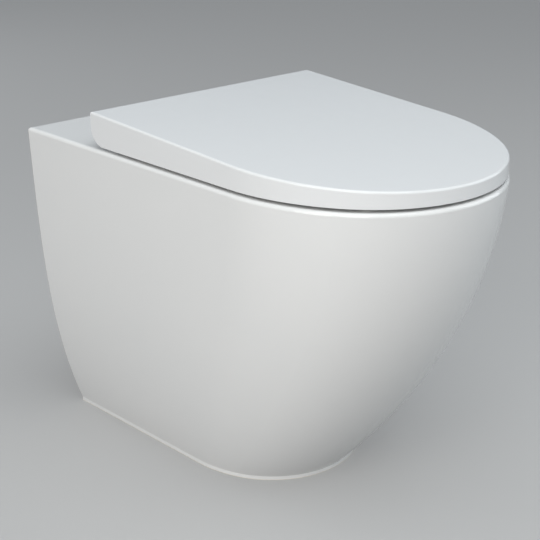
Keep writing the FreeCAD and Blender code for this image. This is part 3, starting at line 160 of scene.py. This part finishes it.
def buildDriftGroup():
    # slow drift of tone and gloss over a poured or moulded surface
    inputs = [
        ("Vector", "NodeSocketVector", None),
        ("Tone A", "NodeSocketColor", (0.8, 0.8, 0.8, 1.0)),
        ("Tone B", "NodeSocketColor", (0.8, 0.8, 0.8, 1.0)),
        ("Tone Scale", "NodeSocketFloat", 5.0),
        ("Gloss Scale", "NodeSocketFloat", 20.0),
        ("Rough Low", "NodeSocketFloat", 0.1),
        ("Rough High", "NodeSocketFloat", 0.2),
        ("Wave Scale", "NodeSocketFloat", 40.0),
    ]
    outputs = [
        ("Colour", "NodeSocketColor"),
        ("Roughness", "NodeSocketFloat"),
        ("Height", "NodeSocketFloat"),
    ]
    group, start, end = newGroup("surfaceDrift", inputs, outputs)
    wide = addNode(group, "ShaderNodeTexNoise")
    fine = addNode(group, "ShaderNodeTexNoise")
    wave = addNode(group, "ShaderNodeTexNoise")
    tone = addNode(group, "ShaderNodeMix", data_type="RGBA")
    gloss = addNode(group, "ShaderNodeMapRange")
    gloss.inputs["From Min"].default_value = noiseSpan[0]
    gloss.inputs["From Max"].default_value = noiseSpan[1]
    for noise, scale in ((wide, "Tone Scale"), (fine, "Gloss Scale"), (wave, "Wave Scale")):
        noise.inputs["Detail"].default_value = driftDetail[scale]
        group.links.new(start.outputs["Vector"], noise.inputs["Vector"])
        group.links.new(start.outputs[scale], noise.inputs["Scale"])
    group.links.new(wide.outputs["Fac"], tone.inputs["Factor"])
    group.links.new(start.outputs["Tone A"], tone.inputs["A"])
    group.links.new(start.outputs["Tone B"], tone.inputs["B"])
    group.links.new(fine.outputs["Fac"], gloss.inputs["Value"])
    group.links.new(start.outputs["Rough Low"], gloss.inputs["To Min"])
    group.links.new(start.outputs["Rough High"], gloss.inputs["To Max"])
    group.links.new(tone.outputs["Result"], end.inputs["Colour"])
    group.links.new(gloss.outputs["Result"], end.inputs["Roughness"])
    group.links.new(wave.outputs["Fac"], end.inputs["Height"])
    return group


def buildBareEdgeGroup():
    # where the glaze was wiped off: the foot that stood in the kiln and the sawn wall edge
    inputs = [
        ("Vector", "NodeSocketVector", None),
        ("Foot Height", "NodeSocketFloat", 0.001),
        ("Wall Plane", "NodeSocketFloat", 0.2845),
        ("Fade", "NodeSocketFloat", 0.0004),
    ]
    group, start, end = newGroup("bareEdge", inputs, [("Mask", "NodeSocketFloat")])
    split = addNode(group, "ShaderNodeSeparateXYZ")
    group.links.new(start.outputs["Vector"], split.inputs["Vector"])
    below = addNode(group, "ShaderNodeMath", operation="SUBTRACT")
    group.links.new(start.outputs["Foot Height"], below.inputs[0])
    group.links.new(split.outputs["Z"], below.inputs[1])
    behind = addNode(group, "ShaderNodeMath", operation="SUBTRACT")
    group.links.new(split.outputs["Y"], behind.inputs[0])
    group.links.new(start.outputs["Wall Plane"], behind.inputs[1])
    either = addNode(group, "ShaderNodeMath", operation="MAXIMUM")
    group.links.new(below.outputs["Value"], either.inputs[0])
    group.links.new(behind.outputs["Value"], either.inputs[1])
    share = addNode(group, "ShaderNodeMath", operation="DIVIDE", use_clamp=True)
    group.links.new(either.outputs["Value"], share.inputs[0])
    group.links.new(start.outputs["Fade"], share.inputs[1])
    group.links.new(share.outputs["Value"], end.inputs["Mask"])
    return group


def buildGrainGroup():
    # fine drawn or brushed lines that run along one direction
    inputs = [
        ("Vector", "NodeSocketVector", None),
        ("Stretch", "NodeSocketVector", (900.0, 900.0, 30.0)),
        ("Tone A", "NodeSocketColor", (0.6, 0.6, 0.6, 1.0)),
        ("Tone B", "NodeSocketColor", (0.7, 0.7, 0.7, 1.0)),
        ("Rough Low", "NodeSocketFloat", 0.2),
        ("Rough High", "NodeSocketFloat", 0.4),
    ]
    outputs = [
        ("Colour", "NodeSocketColor"),
        ("Roughness", "NodeSocketFloat"),
        ("Height", "NodeSocketFloat"),
    ]
    group, start, end = newGroup("drawnGrain", inputs, outputs)
    stretch = addNode(group, "ShaderNodeVectorMath", operation="MULTIPLY")
    group.links.new(start.outputs["Vector"], stretch.inputs[0])
    group.links.new(start.outputs["Stretch"], stretch.inputs[1])
    lines = addNode(group, "ShaderNodeTexNoise")
    lines.inputs["Scale"].default_value = 1.0  # the stretch sets it
    lines.inputs["Detail"].default_value = grainDetail
    group.links.new(stretch.outputs["Vector"], lines.inputs["Vector"])
    tone = addNode(group, "ShaderNodeMix", data_type="RGBA")
    group.links.new(lines.outputs["Fac"], tone.inputs["Factor"])
    group.links.new(start.outputs["Tone A"], tone.inputs["A"])
    group.links.new(start.outputs["Tone B"], tone.inputs["B"])
    gloss = addNode(group, "ShaderNodeMapRange")
    gloss.inputs["From Min"].default_value = noiseSpan[0]
    gloss.inputs["From Max"].default_value = noiseSpan[1]
    group.links.new(lines.outputs["Fac"], gloss.inputs["Value"])
    group.links.new(start.outputs["Rough Low"], gloss.inputs["To Min"])
    group.links.new(start.outputs["Rough High"], gloss.inputs["To Max"])
    group.links.new(tone.outputs["Result"], end.inputs["Colour"])
    group.links.new(gloss.outputs["Result"], end.inputs["Roughness"])
    group.links.new(lines.outputs["Fac"], end.inputs["Height"])
    return group


driftGroup = buildDriftGroup()
bareEdgeGroup = buildBareEdgeGroup()
grainGroup = buildGrainGroup()
print("node groups built")


# finishes

def startFinish(name, effect, settings):
    finish = bpy.data.materials.new(name)
    finish.use_nodes = True
    tree = finish.node_tree
    shader = tree.nodes["Principled BSDF"]
    coords = addNode(tree, "ShaderNodeTexCoord")
    group = addNode(tree, "ShaderNodeGroup")
    group.node_tree = effect
    for label, value in settings.items():
        isTone = label in ("Tone A", "Tone B")
        group.inputs[label].default_value = (*value, 1.0) if isTone else value
    tree.links.new(coords.outputs["Object"], group.inputs["Vector"])
    tree.links.new(group.outputs["Colour"], shader.inputs["Base Color"])
    tree.links.new(group.outputs["Roughness"], shader.inputs["Roughness"])
    return finish, tree, shader, coords, group


def addBump(tree, shader, group, strength, distance):
    bump = addNode(tree, "ShaderNodeBump")
    bump.inputs["Strength"].default_value = strength
    bump.inputs["Distance"].default_value = distance
    tree.links.new(group.outputs["Height"], bump.inputs["Height"])
    tree.links.new(bump.outputs["Normal"], shader.inputs["Normal"])


glaze = {
    "drift": {
        "Tone A": (0.790, 0.795, 0.790),
        "Tone B": (0.825, 0.822, 0.812),
        "Tone Scale": 6.0,
        "Gloss Scale": 35.0,
        "Rough Low": 0.055,
        "Rough High": 0.11,
        "Wave Scale": 26.0,
    },
    "bareTone": (0.74, 0.70, 0.63),
    "bareRough": 0.85,
    "waveStrength": 0.10,
    "waveDistance": 0.0006,
    "ior": 1.52,
}


def makeGlaze():
    finish, tree, shader, coords, drift = startFinish("whiteGlaze", driftGroup, glaze["drift"])
    edge = addNode(tree, "ShaderNodeGroup")
    edge.node_tree = bareEdgeGroup
    tree.links.new(coords.outputs["Object"], edge.inputs["Vector"])
    tone = addNode(tree, "ShaderNodeMix", data_type="RGBA")
    tree.links.new(edge.outputs["Mask"], tone.inputs["Factor"])
    tree.links.new(drift.outputs["Colour"], tone.inputs["A"])
    tone.inputs["B"].default_value = (*glaze["bareTone"], 1.0)
    tree.links.new(tone.outputs["Result"], shader.inputs["Base Color"])
    gloss = addNode(tree, "ShaderNodeMix", data_type="FLOAT")
    tree.links.new(edge.outputs["Mask"], gloss.inputs["Factor"])
    tree.links.new(drift.outputs["Roughness"], gloss.inputs["A"])
    gloss.inputs["B"].default_value = glaze["bareRough"]
    tree.links.new(gloss.outputs["Result"], shader.inputs["Roughness"])
    addBump(tree, shader, drift, glaze["waveStrength"], glaze["waveDistance"])
    shader.inputs["IOR"].default_value = glaze["ior"]
    return finish


moulded = {
    "seatPlastic": {
        "drift": {
            "Tone A": (0.775, 0.784, 0.787),
            "Tone B": (0.792, 0.798, 0.800),
            "Tone Scale": 4.0,
            "Gloss Scale": 60.0,
            "Rough Low": 0.13,
            "Rough High": 0.19,
            "Wave Scale": 55.0,
        },
        "bump": (0.05, 0.0003),
    },
    "bumperRubber": {
        "drift": {
            "Tone A": (0.70, 0.70, 0.67),
            "Tone B": (0.76, 0.76, 0.73),
            "Tone Scale": 120.0,
            "Gloss Scale": 400.0,
            "Rough Low": 0.45,
            "Rough High": 0.65,
            "Wave Scale": 1500.0,
        },
        "bump": (0.2, 0.0001),
    },
    "sealRubber": {
        "drift": {
            "Tone A": (0.018, 0.018, 0.019),
            "Tone B": (0.035, 0.035, 0.036),
            "Tone Scale": 60.0,
            "Gloss Scale": 300.0,
            "Rough Low": 0.45,
            "Rough High": 0.7,
            "Wave Scale": 1200.0,
        },
        "bump": (0.25, 0.0001),
    },
    "damperPlastic": {
        "drift": {
            "Tone A": (0.085, 0.088, 0.095),
            "Tone B": (0.11, 0.115, 0.12),
            "Tone Scale": 80.0,
            "Gloss Scale": 300.0,
            "Rough Low": 0.35,
            "Rough High": 0.55,
            "Wave Scale": 1800.0,
        },
        "bump": (0.15, 0.0001),
    },
    "nutNylon": {
        "drift": {
            "Tone A": (0.70, 0.69, 0.64),
            "Tone B": (0.77, 0.76, 0.72),
            "Tone Scale": 50.0,
            "Gloss Scale": 250.0,
            "Rough Low": 0.35,
            "Rough High": 0.5,
            "Wave Scale": 900.0,
        },
        "bump": (0.15, 0.0001),
    },
}
mouldedIor = 1.42


def makeMoulded(name):
    finish, tree, shader, _, drift = startFinish(name, driftGroup, moulded[name]["drift"])
    addBump(tree, shader, drift, *moulded[name]["bump"])
    shader.inputs["IOR"].default_value = mouldedIor
    return finish


metals = {
    "hingeChrome": {
        "grain": {
            "Stretch": (40.0, 900.0, 900.0),
            "Tone A": (0.74, 0.75, 0.76),
            "Tone B": (0.82, 0.83, 0.84),
            "Rough Low": 0.05,
            "Rough High": 0.13,
        },
        "bump": (0.02, 0.00002),
    },
    "plainSteel": {
        "grain": {
            "Stretch": (1200.0, 1200.0, 60.0),
            "Tone A": (0.50, 0.51, 0.52),
            "Tone B": (0.62, 0.63, 0.63),
            "Rough Low": 0.22,
            "Rough High": 0.40,
        },
        "bump": (0.08, 0.00003),
    },
    "zincSteel": {
        "grain": {
            "Stretch": (120.0, 180.0, 150.0),
            "Tone A": (0.38, 0.40, 0.42),
            "Tone B": (0.56, 0.58, 0.60),
            "Rough Low": 0.32,
            "Rough High": 0.55,
        },
        "bump": (0.1, 0.00005),
    },
}


def makeMetal(name):
    finish, tree, shader, _, grain = startFinish(name, grainGroup, metals[name]["grain"])
    shader.inputs["Metallic"].default_value = 1.0
    addBump(tree, shader, grain, *metals[name]["bump"])
    return finish


finishes = {
    "ceramic": makeGlaze(),
    "seat_plastic": makeMoulded("seatPlastic"),
    "bumper_rubber": makeMoulded("bumperRubber"),
    "seal_rubber": makeMoulded("sealRubber"),
    "damper_plastic": makeMoulded("damperPlastic"),
    "nut_plastic": makeMoulded("nutNylon"),
    "hinge_chrome": makeMetal("hingeChrome"),
    "steel": makeMetal("plainSteel"),
    "bracket_steel": makeMetal("zincSteel"),
}
for part in frame["record"]["subparts"]:
    node = nodes[part["node"]]
    node.data.materials.clear()
    node.data.materials.append(finishes[part["material_slot"]])
print("finishes made:", len(finishes))


# modelling helpers

seedSize = 0.002
weldDistance = 0.000002
smoothAngle = 32.0  # degrees
roundSteps = 48
quarterTurn = math.pi / 2
threadShares = (0.38, 0.52, 0.90)  # of the pitch: crest begins, crest ends, ridge ends


def clearSelection():
    bpy.ops.object.select_all(action="DESELECT")


def pickOnly(piece):
    clearSelection()
    piece.select_set(True)
    bpy.context.view_layer.objects.active = piece


def bakePlace(piece):
    # place, turn and scale go into the mesh
    pickOnly(piece)
    bpy.ops.object.transform_apply(location=True, rotation=True, scale=True)


def closeMesh(fillEnds=True):
    # from edit mode: doubles merged, open ends filled, faces turned outwards
    bpy.ops.mesh.select_all(action="SELECT")
    bpy.ops.mesh.remove_doubles(threshold=weldDistance)
    if fillEnds:
        bpy.ops.mesh.fill_holes(sides=0)
    bpy.ops.mesh.select_all(action="SELECT")
    bpy.ops.mesh.normals_make_consistent(inside=False)
    bpy.ops.object.mode_set(mode="OBJECT")


def drawLine(name, points):
    # a plane merged to one point, then drawn out along (across, height) steps
    clearSelection()
    bpy.ops.mesh.primitive_plane_add(size=seedSize)
    piece = bpy.context.object
    piece.name = name
    bpy.ops.object.mode_set(mode="EDIT")
    bpy.ops.mesh.select_all(action="SELECT")
    bpy.ops.mesh.merge(type="CENTER")
    across, height = points[0]
    bpy.ops.transform.translate(value=(across, 0.0, height))
    for nextAcross, nextHeight in points[1:]:
        step = (nextAcross - across, 0.0, nextHeight - height)
        bpy.ops.mesh.extrude_vertices_move(TRANSFORM_OT_translate={"value": step})
        across, height = nextAcross, nextHeight
    return piece


def spinUpright(steps, degrees):
    bpy.ops.mesh.select_all(action="SELECT")
    bpy.ops.mesh.spin(steps=steps, angle=math.radians(degrees),
                      center=(0.0, 0.0, 0.0), axis=(0.0, 0.0, 1.0))


def turnOnLathe(name, points, steps=roundSteps):
    piece = drawLine(name, points)
    spinUpright(steps, 360.0)
    closeMesh(fillEnds=False)
    return piece


def windUp(piece, axis, pitch, turns, steps):
    wind = piece.modifiers.new("wind", "SCREW")
    wind.axis = axis
    wind.screw_offset = pitch
    wind.iterations = turns
    wind.steps = steps
    wind.render_steps = steps
    pickOnly(piece)
    bpy.ops.object.modifier_apply(modifier="wind")
    bpy.ops.object.mode_set(mode="EDIT")
    closeMesh()


def windThread(name, thread):
    # the section of one ridge, wound up the shank
    root, crest, pitch, low = (thread[key] for key in ("root", "crest", "pitch", "low"))
    begin, end, last = (low + share * pitch for share in threadShares)
    ridge = drawLine(name, [(root, low), (crest, begin), (crest, end), (root, last)])
    bpy.ops.mesh.select_all(action="SELECT")
    bpy.ops.mesh.edge_face_add()
    bpy.ops.mesh.delete(type="ONLY_FACE")
    bpy.ops.object.mode_set(mode="OBJECT")
    windUp(ridge, "Z", pitch, thread["turns"], thread["steps"])
    return ridge


def combine(piece, other, how):
    # boolean with a helper that is then thrown away
    step = piece.modifiers.new(how.lower(), "BOOLEAN")
    step.operation = how
    step.solver = "EXACT"
    step.object = other
    pickOnly(piece)
    bpy.ops.object.modifier_apply(modifier=step.name)
    pickOnly(other)
    bpy.ops.object.delete()


def joinPieces(piece, others):
    pickOnly(piece)
    for other in others:
        other.select_set(True)
    bpy.ops.object.join()
    return piece


def softenEdges(piece, width, segments=2, angle=35.0):
    soften = piece.modifiers.new("soften", "BEVEL")
    soften.width = width
    soften.segments = segments
    soften.limit_method = "ANGLE"
    soften.angle_limit = math.radians(angle)
    pickOnly(piece)
    bpy.ops.object.modifier_apply(modifier="soften")


def setDown(piece, name, body, slotName, standsFor=None):
    # shading, name, finish and body
    bakePlace(piece)
    bpy.ops.object.shade_smooth_by_angle(angle=math.radians(smoothAngle))
    piece.name = name
    piece.data.name = name
    piece.data.materials.clear()
    piece.data.materials.append(finishes[slotName])
    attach(piece, body)
    if standsFor:
        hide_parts(standsFor)


def setDownCopies(piece, name, places, body, slotName, standsFor, lean=0.0):
    copies = []
    for _ in places[1:]:
        pickOnly(piece)
        bpy.ops.object.duplicate()
        copies.append(bpy.context.object)
    for index, (copy, place) in enumerate(zip([piece] + copies, places), 1):
        copy.rotation_euler = (lean, 0.0, 0.0)
        copy.location = place
        setDown(copy, f"{name}{index}", body, slotName, standsFor)


# soft pads under the seat ring, cupped where they meet the rim

seatPad = {
    "places": [
        (0.148, -0.005, 0.400), (-0.148, -0.005, 0.400),
        (0.099, -0.222, 0.400), (-0.099, -0.222, 0.400),
    ],
    "profile": [
        (0.0, 0.0006), (0.0020, 0.0006), (0.0026, 0.0004), (0.0031, 0.0), (0.0052, 0.0),
        (0.0064, 0.0003), (0.0073, 0.0010), (0.0077, 0.0020), (0.0076, 0.0029), (0.0073, 0.0034),
        (0.0073, 0.0039), (0.0079, 0.0042), (0.0080, 0.0046), (0.0080, 0.0055), (0.0, 0.0055),
    ],
}
pad = turnOnLathe("seatPad", seatPad["profile"])
setDownCopies(pad, "seatPad", seatPad["places"], "seat", "bumper_rubber", "seat_bumpers")
print("seat pads made")


# smaller pads that lean with the lid

lidPad = {
    "places": [(0.110, -0.185, 0.42091), (-0.110, -0.185, 0.42091)],
    "lean": 0.0524,  # radians
    "profile": [
        (0.0, 0.0), (0.0060, 0.0), (0.0060, -0.0009), (0.0057, -0.0013),
        (0.0054, -0.0017), (0.0055, -0.0024), (0.0054, -0.0036), (0.0048, -0.0046),
        (0.0038, -0.0051), (0.0022, -0.00527), (0.0, -0.00527),
    ],
}
pad = turnOnLathe("lidPad", lidPad["profile"])
setDownCopies(pad, "lidPad", lidPad["places"], "lid", "bumper_rubber", "lid_bumpers",
              lidPad["lean"])
print("lid pads made")


# studs that hold the hinge blocks: rolled thread below, grooved head above

seatStud = {
    "places": [(0.0775, 0.096, 0.0), (-0.0775, 0.096, 0.0)],
    "profile": [
        (0.0, 0.3450), (0.0024, 0.3450), (0.0034, 0.3460), (0.0034, 0.3990), (0.0040, 0.3996),
        (0.0040, 0.4015), (0.0116, 0.4015), (0.0120, 0.4019), (0.0120, 0.4029), (0.0116, 0.4033),
        (0.0042, 0.4033), (0.0040, 0.4035), (0.0040, 0.4084), (0.0038, 0.4086), (0.0022, 0.4086),
        (0.0022, 0.4134), (0.0038, 0.4134), (0.0040, 0.4136), (0.0040, 0.4173), (0.0037, 0.4181),
        (0.0023, 0.4193), (0.0018, 0.4195), (0.0, 0.4195),
    ],
    "thread": {
        "root": 0.0033, "crest": 0.0040, "pitch": 0.00125,
        "low": 0.3462, "turns": 42, "steps": 24,
    },
}
stud = turnOnLathe("seatStud", seatStud["profile"])
stud = joinPieces(stud, [windThread("studThread", seatStud["thread"])])
setDownCopies(stud, "seatStud", seatStud["places"], "pan", "steel", "seat_studs")
print("seat studs made")


# wing nuts: a tapered hub with two drawn-up wings

wingNut = {
    "places": [(0.0775, 0.096, 0.368), (-0.0775, 0.096, 0.368)],
    "hub": [
        (0.0, 0.0), (0.0066, 0.0), (0.0072, 0.0006), (0.0076, 0.0090), (0.0078, 0.0112),
        (0.0086, 0.0116), (0.0090, 0.0120), (0.0090, 0.0136), (0.0086, 0.0140), (0.0, 0.0140),
    ],
    "drill": [
        (0.0, -0.0010), (0.0058, -0.0010), (0.0042, 0.0006),
        (0.0042, 0.0134), (0.0058, 0.0150), (0.0, 0.0150),
    ],
    "wingSize": (0.0300, 0.0040, 0.0100),
    "tipRounding": 0.0035,
    "tipSteps": 5,
    "slack": 0.0001,  # for finding the edges that run through a wing
    "softness": 0.0005,
}
nut = turnOnLathe("wingNut", wingNut["hub"])
drill = turnOnLathe("nutDrill", wingNut["drill"])
clearSelection()
bpy.ops.mesh.primitive_cube_add(size=1.0, location=(0.0, 0.0, wingNut["wingSize"][2] / 2))
wings = bpy.context.object
wings.scale = wingNut["wingSize"]
bakePlace(wings)
bpy.ops.object.mode_set(mode="EDIT")
bpy.ops.mesh.select_all(action="DESELECT")
bpy.ops.mesh.select_mode(type="EDGE")
cage = bmesh.from_edit_mesh(wings.data)
for edge in cage.edges:
    start, end = (corner.co for corner in edge.verts)
    offLine = max(abs(start.x - end.x), abs(start.z - end.z))
    edge.select_set(offLine < wingNut["slack"])
bmesh.update_edit_mesh(wings.data)
bpy.ops.mesh.bevel(offset=wingNut["tipRounding"], segments=wingNut["tipSteps"], affect="EDGES")
bpy.ops.mesh.select_mode(type="VERT")
bpy.ops.object.mode_set(mode="OBJECT")
softenEdges(wings, wingNut["softness"])
combine(nut, wings, "UNION")
combine(nut, drill, "DIFFERENCE")
setDownCopies(nut, "wingNut", wingNut["places"], "pan", "nut_plastic", "wing_nuts")
print("wing nuts made")


# hexagon with its corners turned off at one end or both

hexagonTurn = math.radians(30.0)
chamferSlope = math.tan(math.radians(30.0))
coneMargin = 1.05  # the cone reaches this far past the corners
coneSteps = 64


def makeHexagon(hexagon):
    clearSelection()
    bpy.ops.mesh.primitive_cylinder_add(vertices=6, radius=hexagon["corner"],
                                        depth=hexagon["height"], rotation=(0.0, 0.0, hexagonTurn))
    head = bpy.context.object
    bakePlace(head)
    half = hexagon["height"] / 2
    wide = hexagon["corner"] * coneMargin
    narrow = hexagon["turnedTo"]
    drop = (wide - narrow) * chamferSlope
    lower = [(wide, -half)]
    if hexagon["bothEnds"]:
        lower = [(narrow, -half), (wide, drop - half)]
    upper = [(wide, half - drop), (narrow, half)]
    profile = [(0.0, -half)] + lower + upper + [(0.0, half)]
    combine(head, turnOnLathe("cornerCone", profile, coneSteps), "INTERSECT")
    return head


clampBolt = {
    "places": [(0.0775, 0.096, 0.0), (-0.0775, 0.096, 0.0)],
    "head": {"corner": 0.0075, "height": 0.0054, "turnedTo": 0.0062, "bothEnds": False},
    "headMiddle": 0.0823,
    "softness": 0.0002,
    "shank": [
        (0.0, 0.0420), (0.0026, 0.0420), (0.0034, 0.0429), (0.0034, 0.0640),
        (0.0040, 0.0648), (0.0040, 0.0797), (0.0, 0.0797),
    ],
    "thread": {
        "root": 0.0033, "crest": 0.0040, "pitch": 0.00125,
        "low": 0.0430, "turns": 16, "steps": 24,
    },
}
bolt = makeHexagon(clampBolt["head"])
bolt.location = (0.0, 0.0, clampBolt["headMiddle"])
bakePlace(bolt)
softenEdges(bolt, clampBolt["softness"])
shank = turnOnLathe("boltShank", clampBolt["shank"])
bolt = joinPieces(bolt, [shank, windThread("boltThread", clampBolt["thread"])])
setDownCopies(bolt, "clampBolt", clampBolt["places"], "pan", "steel", "clamp_bolts")
print("clamp bolts made")


bracketNut = {
    "places": [(0.0775, 0.096, 0.05275), (-0.0775, 0.096, 0.05275)],
    "body": {"corner": 0.0075, "height": 0.0065, "turnedTo": 0.0062, "bothEnds": True},
    "bore": 0.0043,
    "drillLength": 0.05,
    "softness": 0.0002,
}
nut = makeHexagon(bracketNut["body"])
clearSelection()
bpy.ops.mesh.primitive_cylinder_add(vertices=roundSteps, radius=bracketNut["bore"],
                                    depth=bracketNut["drillLength"])
combine(nut, bpy.context.object, "DIFFERENCE")
softenEdges(nut, bracketNut["softness"])
setDownCopies(nut, "bracketNut", bracketNut["places"], "pan", "steel", "bracket_nuts")
print("bracket nuts made")


# coil behind each latch plate

returnSpring = {
    "middle": (0.096, 0.411),
    "ends": (0.0825, 0.0860),  # middle of the wire at each end
    "coilRadius": 0.0013,
    "wireRadius": 0.00025,
    "wireSides": 10,
    "turns": 4,
    "steps": 20,
    "seat": 0.0865,
    "travel": 0.0020,
}


def windSpring(name, spring):
    clearSelection()
    bpy.ops.mesh.primitive_circle_add(vertices=spring["wireSides"], radius=spring["wireRadius"],
                                      rotation=(quarterTurn, 0.0, 0.0),
                                      location=(0.0, 0.0, spring["coilRadius"]))
    coil = bpy.context.object
    coil.name = name
    bakePlace(coil)
    pitch = (spring["ends"][1] - spring["ends"][0]) / spring["turns"]
    windUp(coil, "X", pitch, spring["turns"], spring["steps"])
    return coil


starts = {"right": returnSpring["ends"][0], "left": -returnSpring["ends"][1]}
for hand, side in (("right", 1), ("left", -1)):
    coil = windSpring("returnSpring", returnSpring)
    coil.location = (starts[hand], *returnSpring["middle"])
    setDown(coil, f"returnSpring_{hand}", "pan", "steel", f"button_spring_{hand}")
    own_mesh(coil)
print("return springs wound")


# ribs that give a thumb some grip on each release button

buttonGrip = {
    "face": 0.0593,
    "middle": (0.096, 0.411),
    "rib": (0.0008, 0.0011, 0.0056),
    "pitch": 0.0025,
    "ribs": 5,
    "softness": 0.0003,
    "softSteps": 3,
}
for hand, side in (("right", 1), ("left", -1)):
    clearSelection()
    bpy.ops.mesh.primitive_cube_add(size=1.0)
    grip = bpy.context.object
    grip.scale = buttonGrip["rib"]
    bakePlace(grip)
    softenEdges(grip, buttonGrip["softness"], buttonGrip["softSteps"])
    row = grip.modifiers.new("row", "ARRAY")
    row.count = buttonGrip["ribs"]
    row.use_relative_offset = False
    row.use_constant_offset = True
    row.constant_offset_displace = (0.0, buttonGrip["pitch"], 0.0)
    bpy.ops.object.modifier_apply(modifier="row")
    across, height = buttonGrip["middle"]
    first = across - buttonGrip["pitch"] * (buttonGrip["ribs"] - 1) / 2
    grip.location = (side * buttonGrip["face"], first, height)
    setDown(grip, f"buttonGrip_{hand}", f"button_{hand}", "hinge_chrome")
print("button grips made")


# wall of the duct that takes the flush from the inlet horn round both sides of the bowl

flushDuct = {
    "bendMiddle": -0.0346,
    "bendRadius": 0.1220,
    "height": 0.348,
    "outside": 0.0125,
    "bore": 0.0082,
    "sweep": (0.0, 80.0),  # degrees, from the side of the bowl to the horn
    "boreOverrun": 15.0,
    "sides": 32,
    "steps": 48,
    "bowlMiddle": -0.0506,
    "bowlRadius": 0.1330,
    "bowlReach": 0.06,
    "bowlSides": 160,
}


def bendRod(name, radius, first, last):
    clearSelection()
    bpy.ops.mesh.primitive_circle_add(vertices=flushDuct["sides"], radius=radius,
                                      rotation=(quarterTurn, 0.0, 0.0),
                                      location=(flushDuct["bendRadius"], 0.0, 0.0))
    rod = bpy.context.object
    rod.name = name
    bakePlace(rod)
    rod.rotation_euler = (0.0, 0.0, math.radians(first))
    bakePlace(rod)
    bpy.ops.object.mode_set(mode="EDIT")
    spinUpright(flushDuct["steps"], first - last)
    closeMesh()
    rod.location = (0.0, flushDuct["bendMiddle"], flushDuct["height"])
    bakePlace(rod)
    return rod


first, last = flushDuct["sweep"]
overrun = flushDuct["boreOverrun"]
duct = bendRod("flushDuct", flushDuct["outside"], first, last)
ductBore = bendRod("ductBore", flushDuct["bore"], first - overrun, last + overrun)
combine(duct, ductBore, "DIFFERENCE")
clearSelection()
bpy.ops.mesh.primitive_cylinder_add(vertices=flushDuct["bowlSides"], radius=flushDuct["bowlRadius"],
                                    depth=flushDuct["bowlReach"],
                                    location=(0.0, flushDuct["bowlMiddle"], flushDuct["height"]))
combine(duct, bpy.context.object, "DIFFERENCE")
pickOnly(duct)
bothSides = duct.modifiers.new("bothSides", "MIRROR")
bothSides.use_axis[0] = True
bpy.ops.object.modifier_apply(modifier="bothSides")
bpy.ops.object.mode_set(mode="EDIT")
bpy.ops.mesh.select_all(action="SELECT")
bpy.ops.mesh.normals_make_consistent(inside=False)
bpy.ops.object.mode_set(mode="OBJECT")
setDown(duct, "flushDuct", "pan", "ceramic")
print("flush duct made")


# wall between the bowl and the rising limb of the trap, let in just behind the bowl's surface

trapWall = {
    "deck": 0.400,
    "bowlDepth": 0.240,
    "bowlBend": 2.2,
    "topRear": 0.207,  # from the room's wall to the bowl, at the deck
    "throatRear": 0.312,  # and at the throat
    "roomWall": 0.285,
    "axis": 0.352,
    "heights": (0.186, 0.286),
    "rows": 20,
    "recess": 0.0002,
    "thickness": 0.0060,
    "spread": 44.0,  # degrees
    "steps": 32,
}


def bowlRear(height):
    sink = (trapWall["deck"] - height) / trapWall["bowlDepth"]
    opening = 1.0 - sink ** trapWall["bowlBend"]
    return trapWall["throatRear"] - (trapWall["throatRear"] - trapWall["topRear"]) * opening


low, high = trapWall["heights"]
rise = [low + (high - low) * row / trapWall["rows"] for row in range(trapWall["rows"] + 1)]
front = [(trapWall["axis"] - bowlRear(height) + trapWall["recess"], height) for height in rise]
back = [(across + trapWall["thickness"], height) for across, height in reversed(front)]
wall = drawLine("trapWall", front + back + front[:1])
bpy.ops.mesh.select_all(action="SELECT")
bpy.ops.mesh.remove_doubles(threshold=weldDistance)
spinUpright(trapWall["steps"], -trapWall["spread"])
closeMesh()
wall.rotation_euler = (0.0, 0.0, math.radians(90.0 - trapWall["spread"] / 2))
wall.location = (0.0, trapWall["roomWall"] - trapWall["axis"], 0.0)
setDown(wall, "trapWall", "pan", "ceramic")
print("trap wall made")
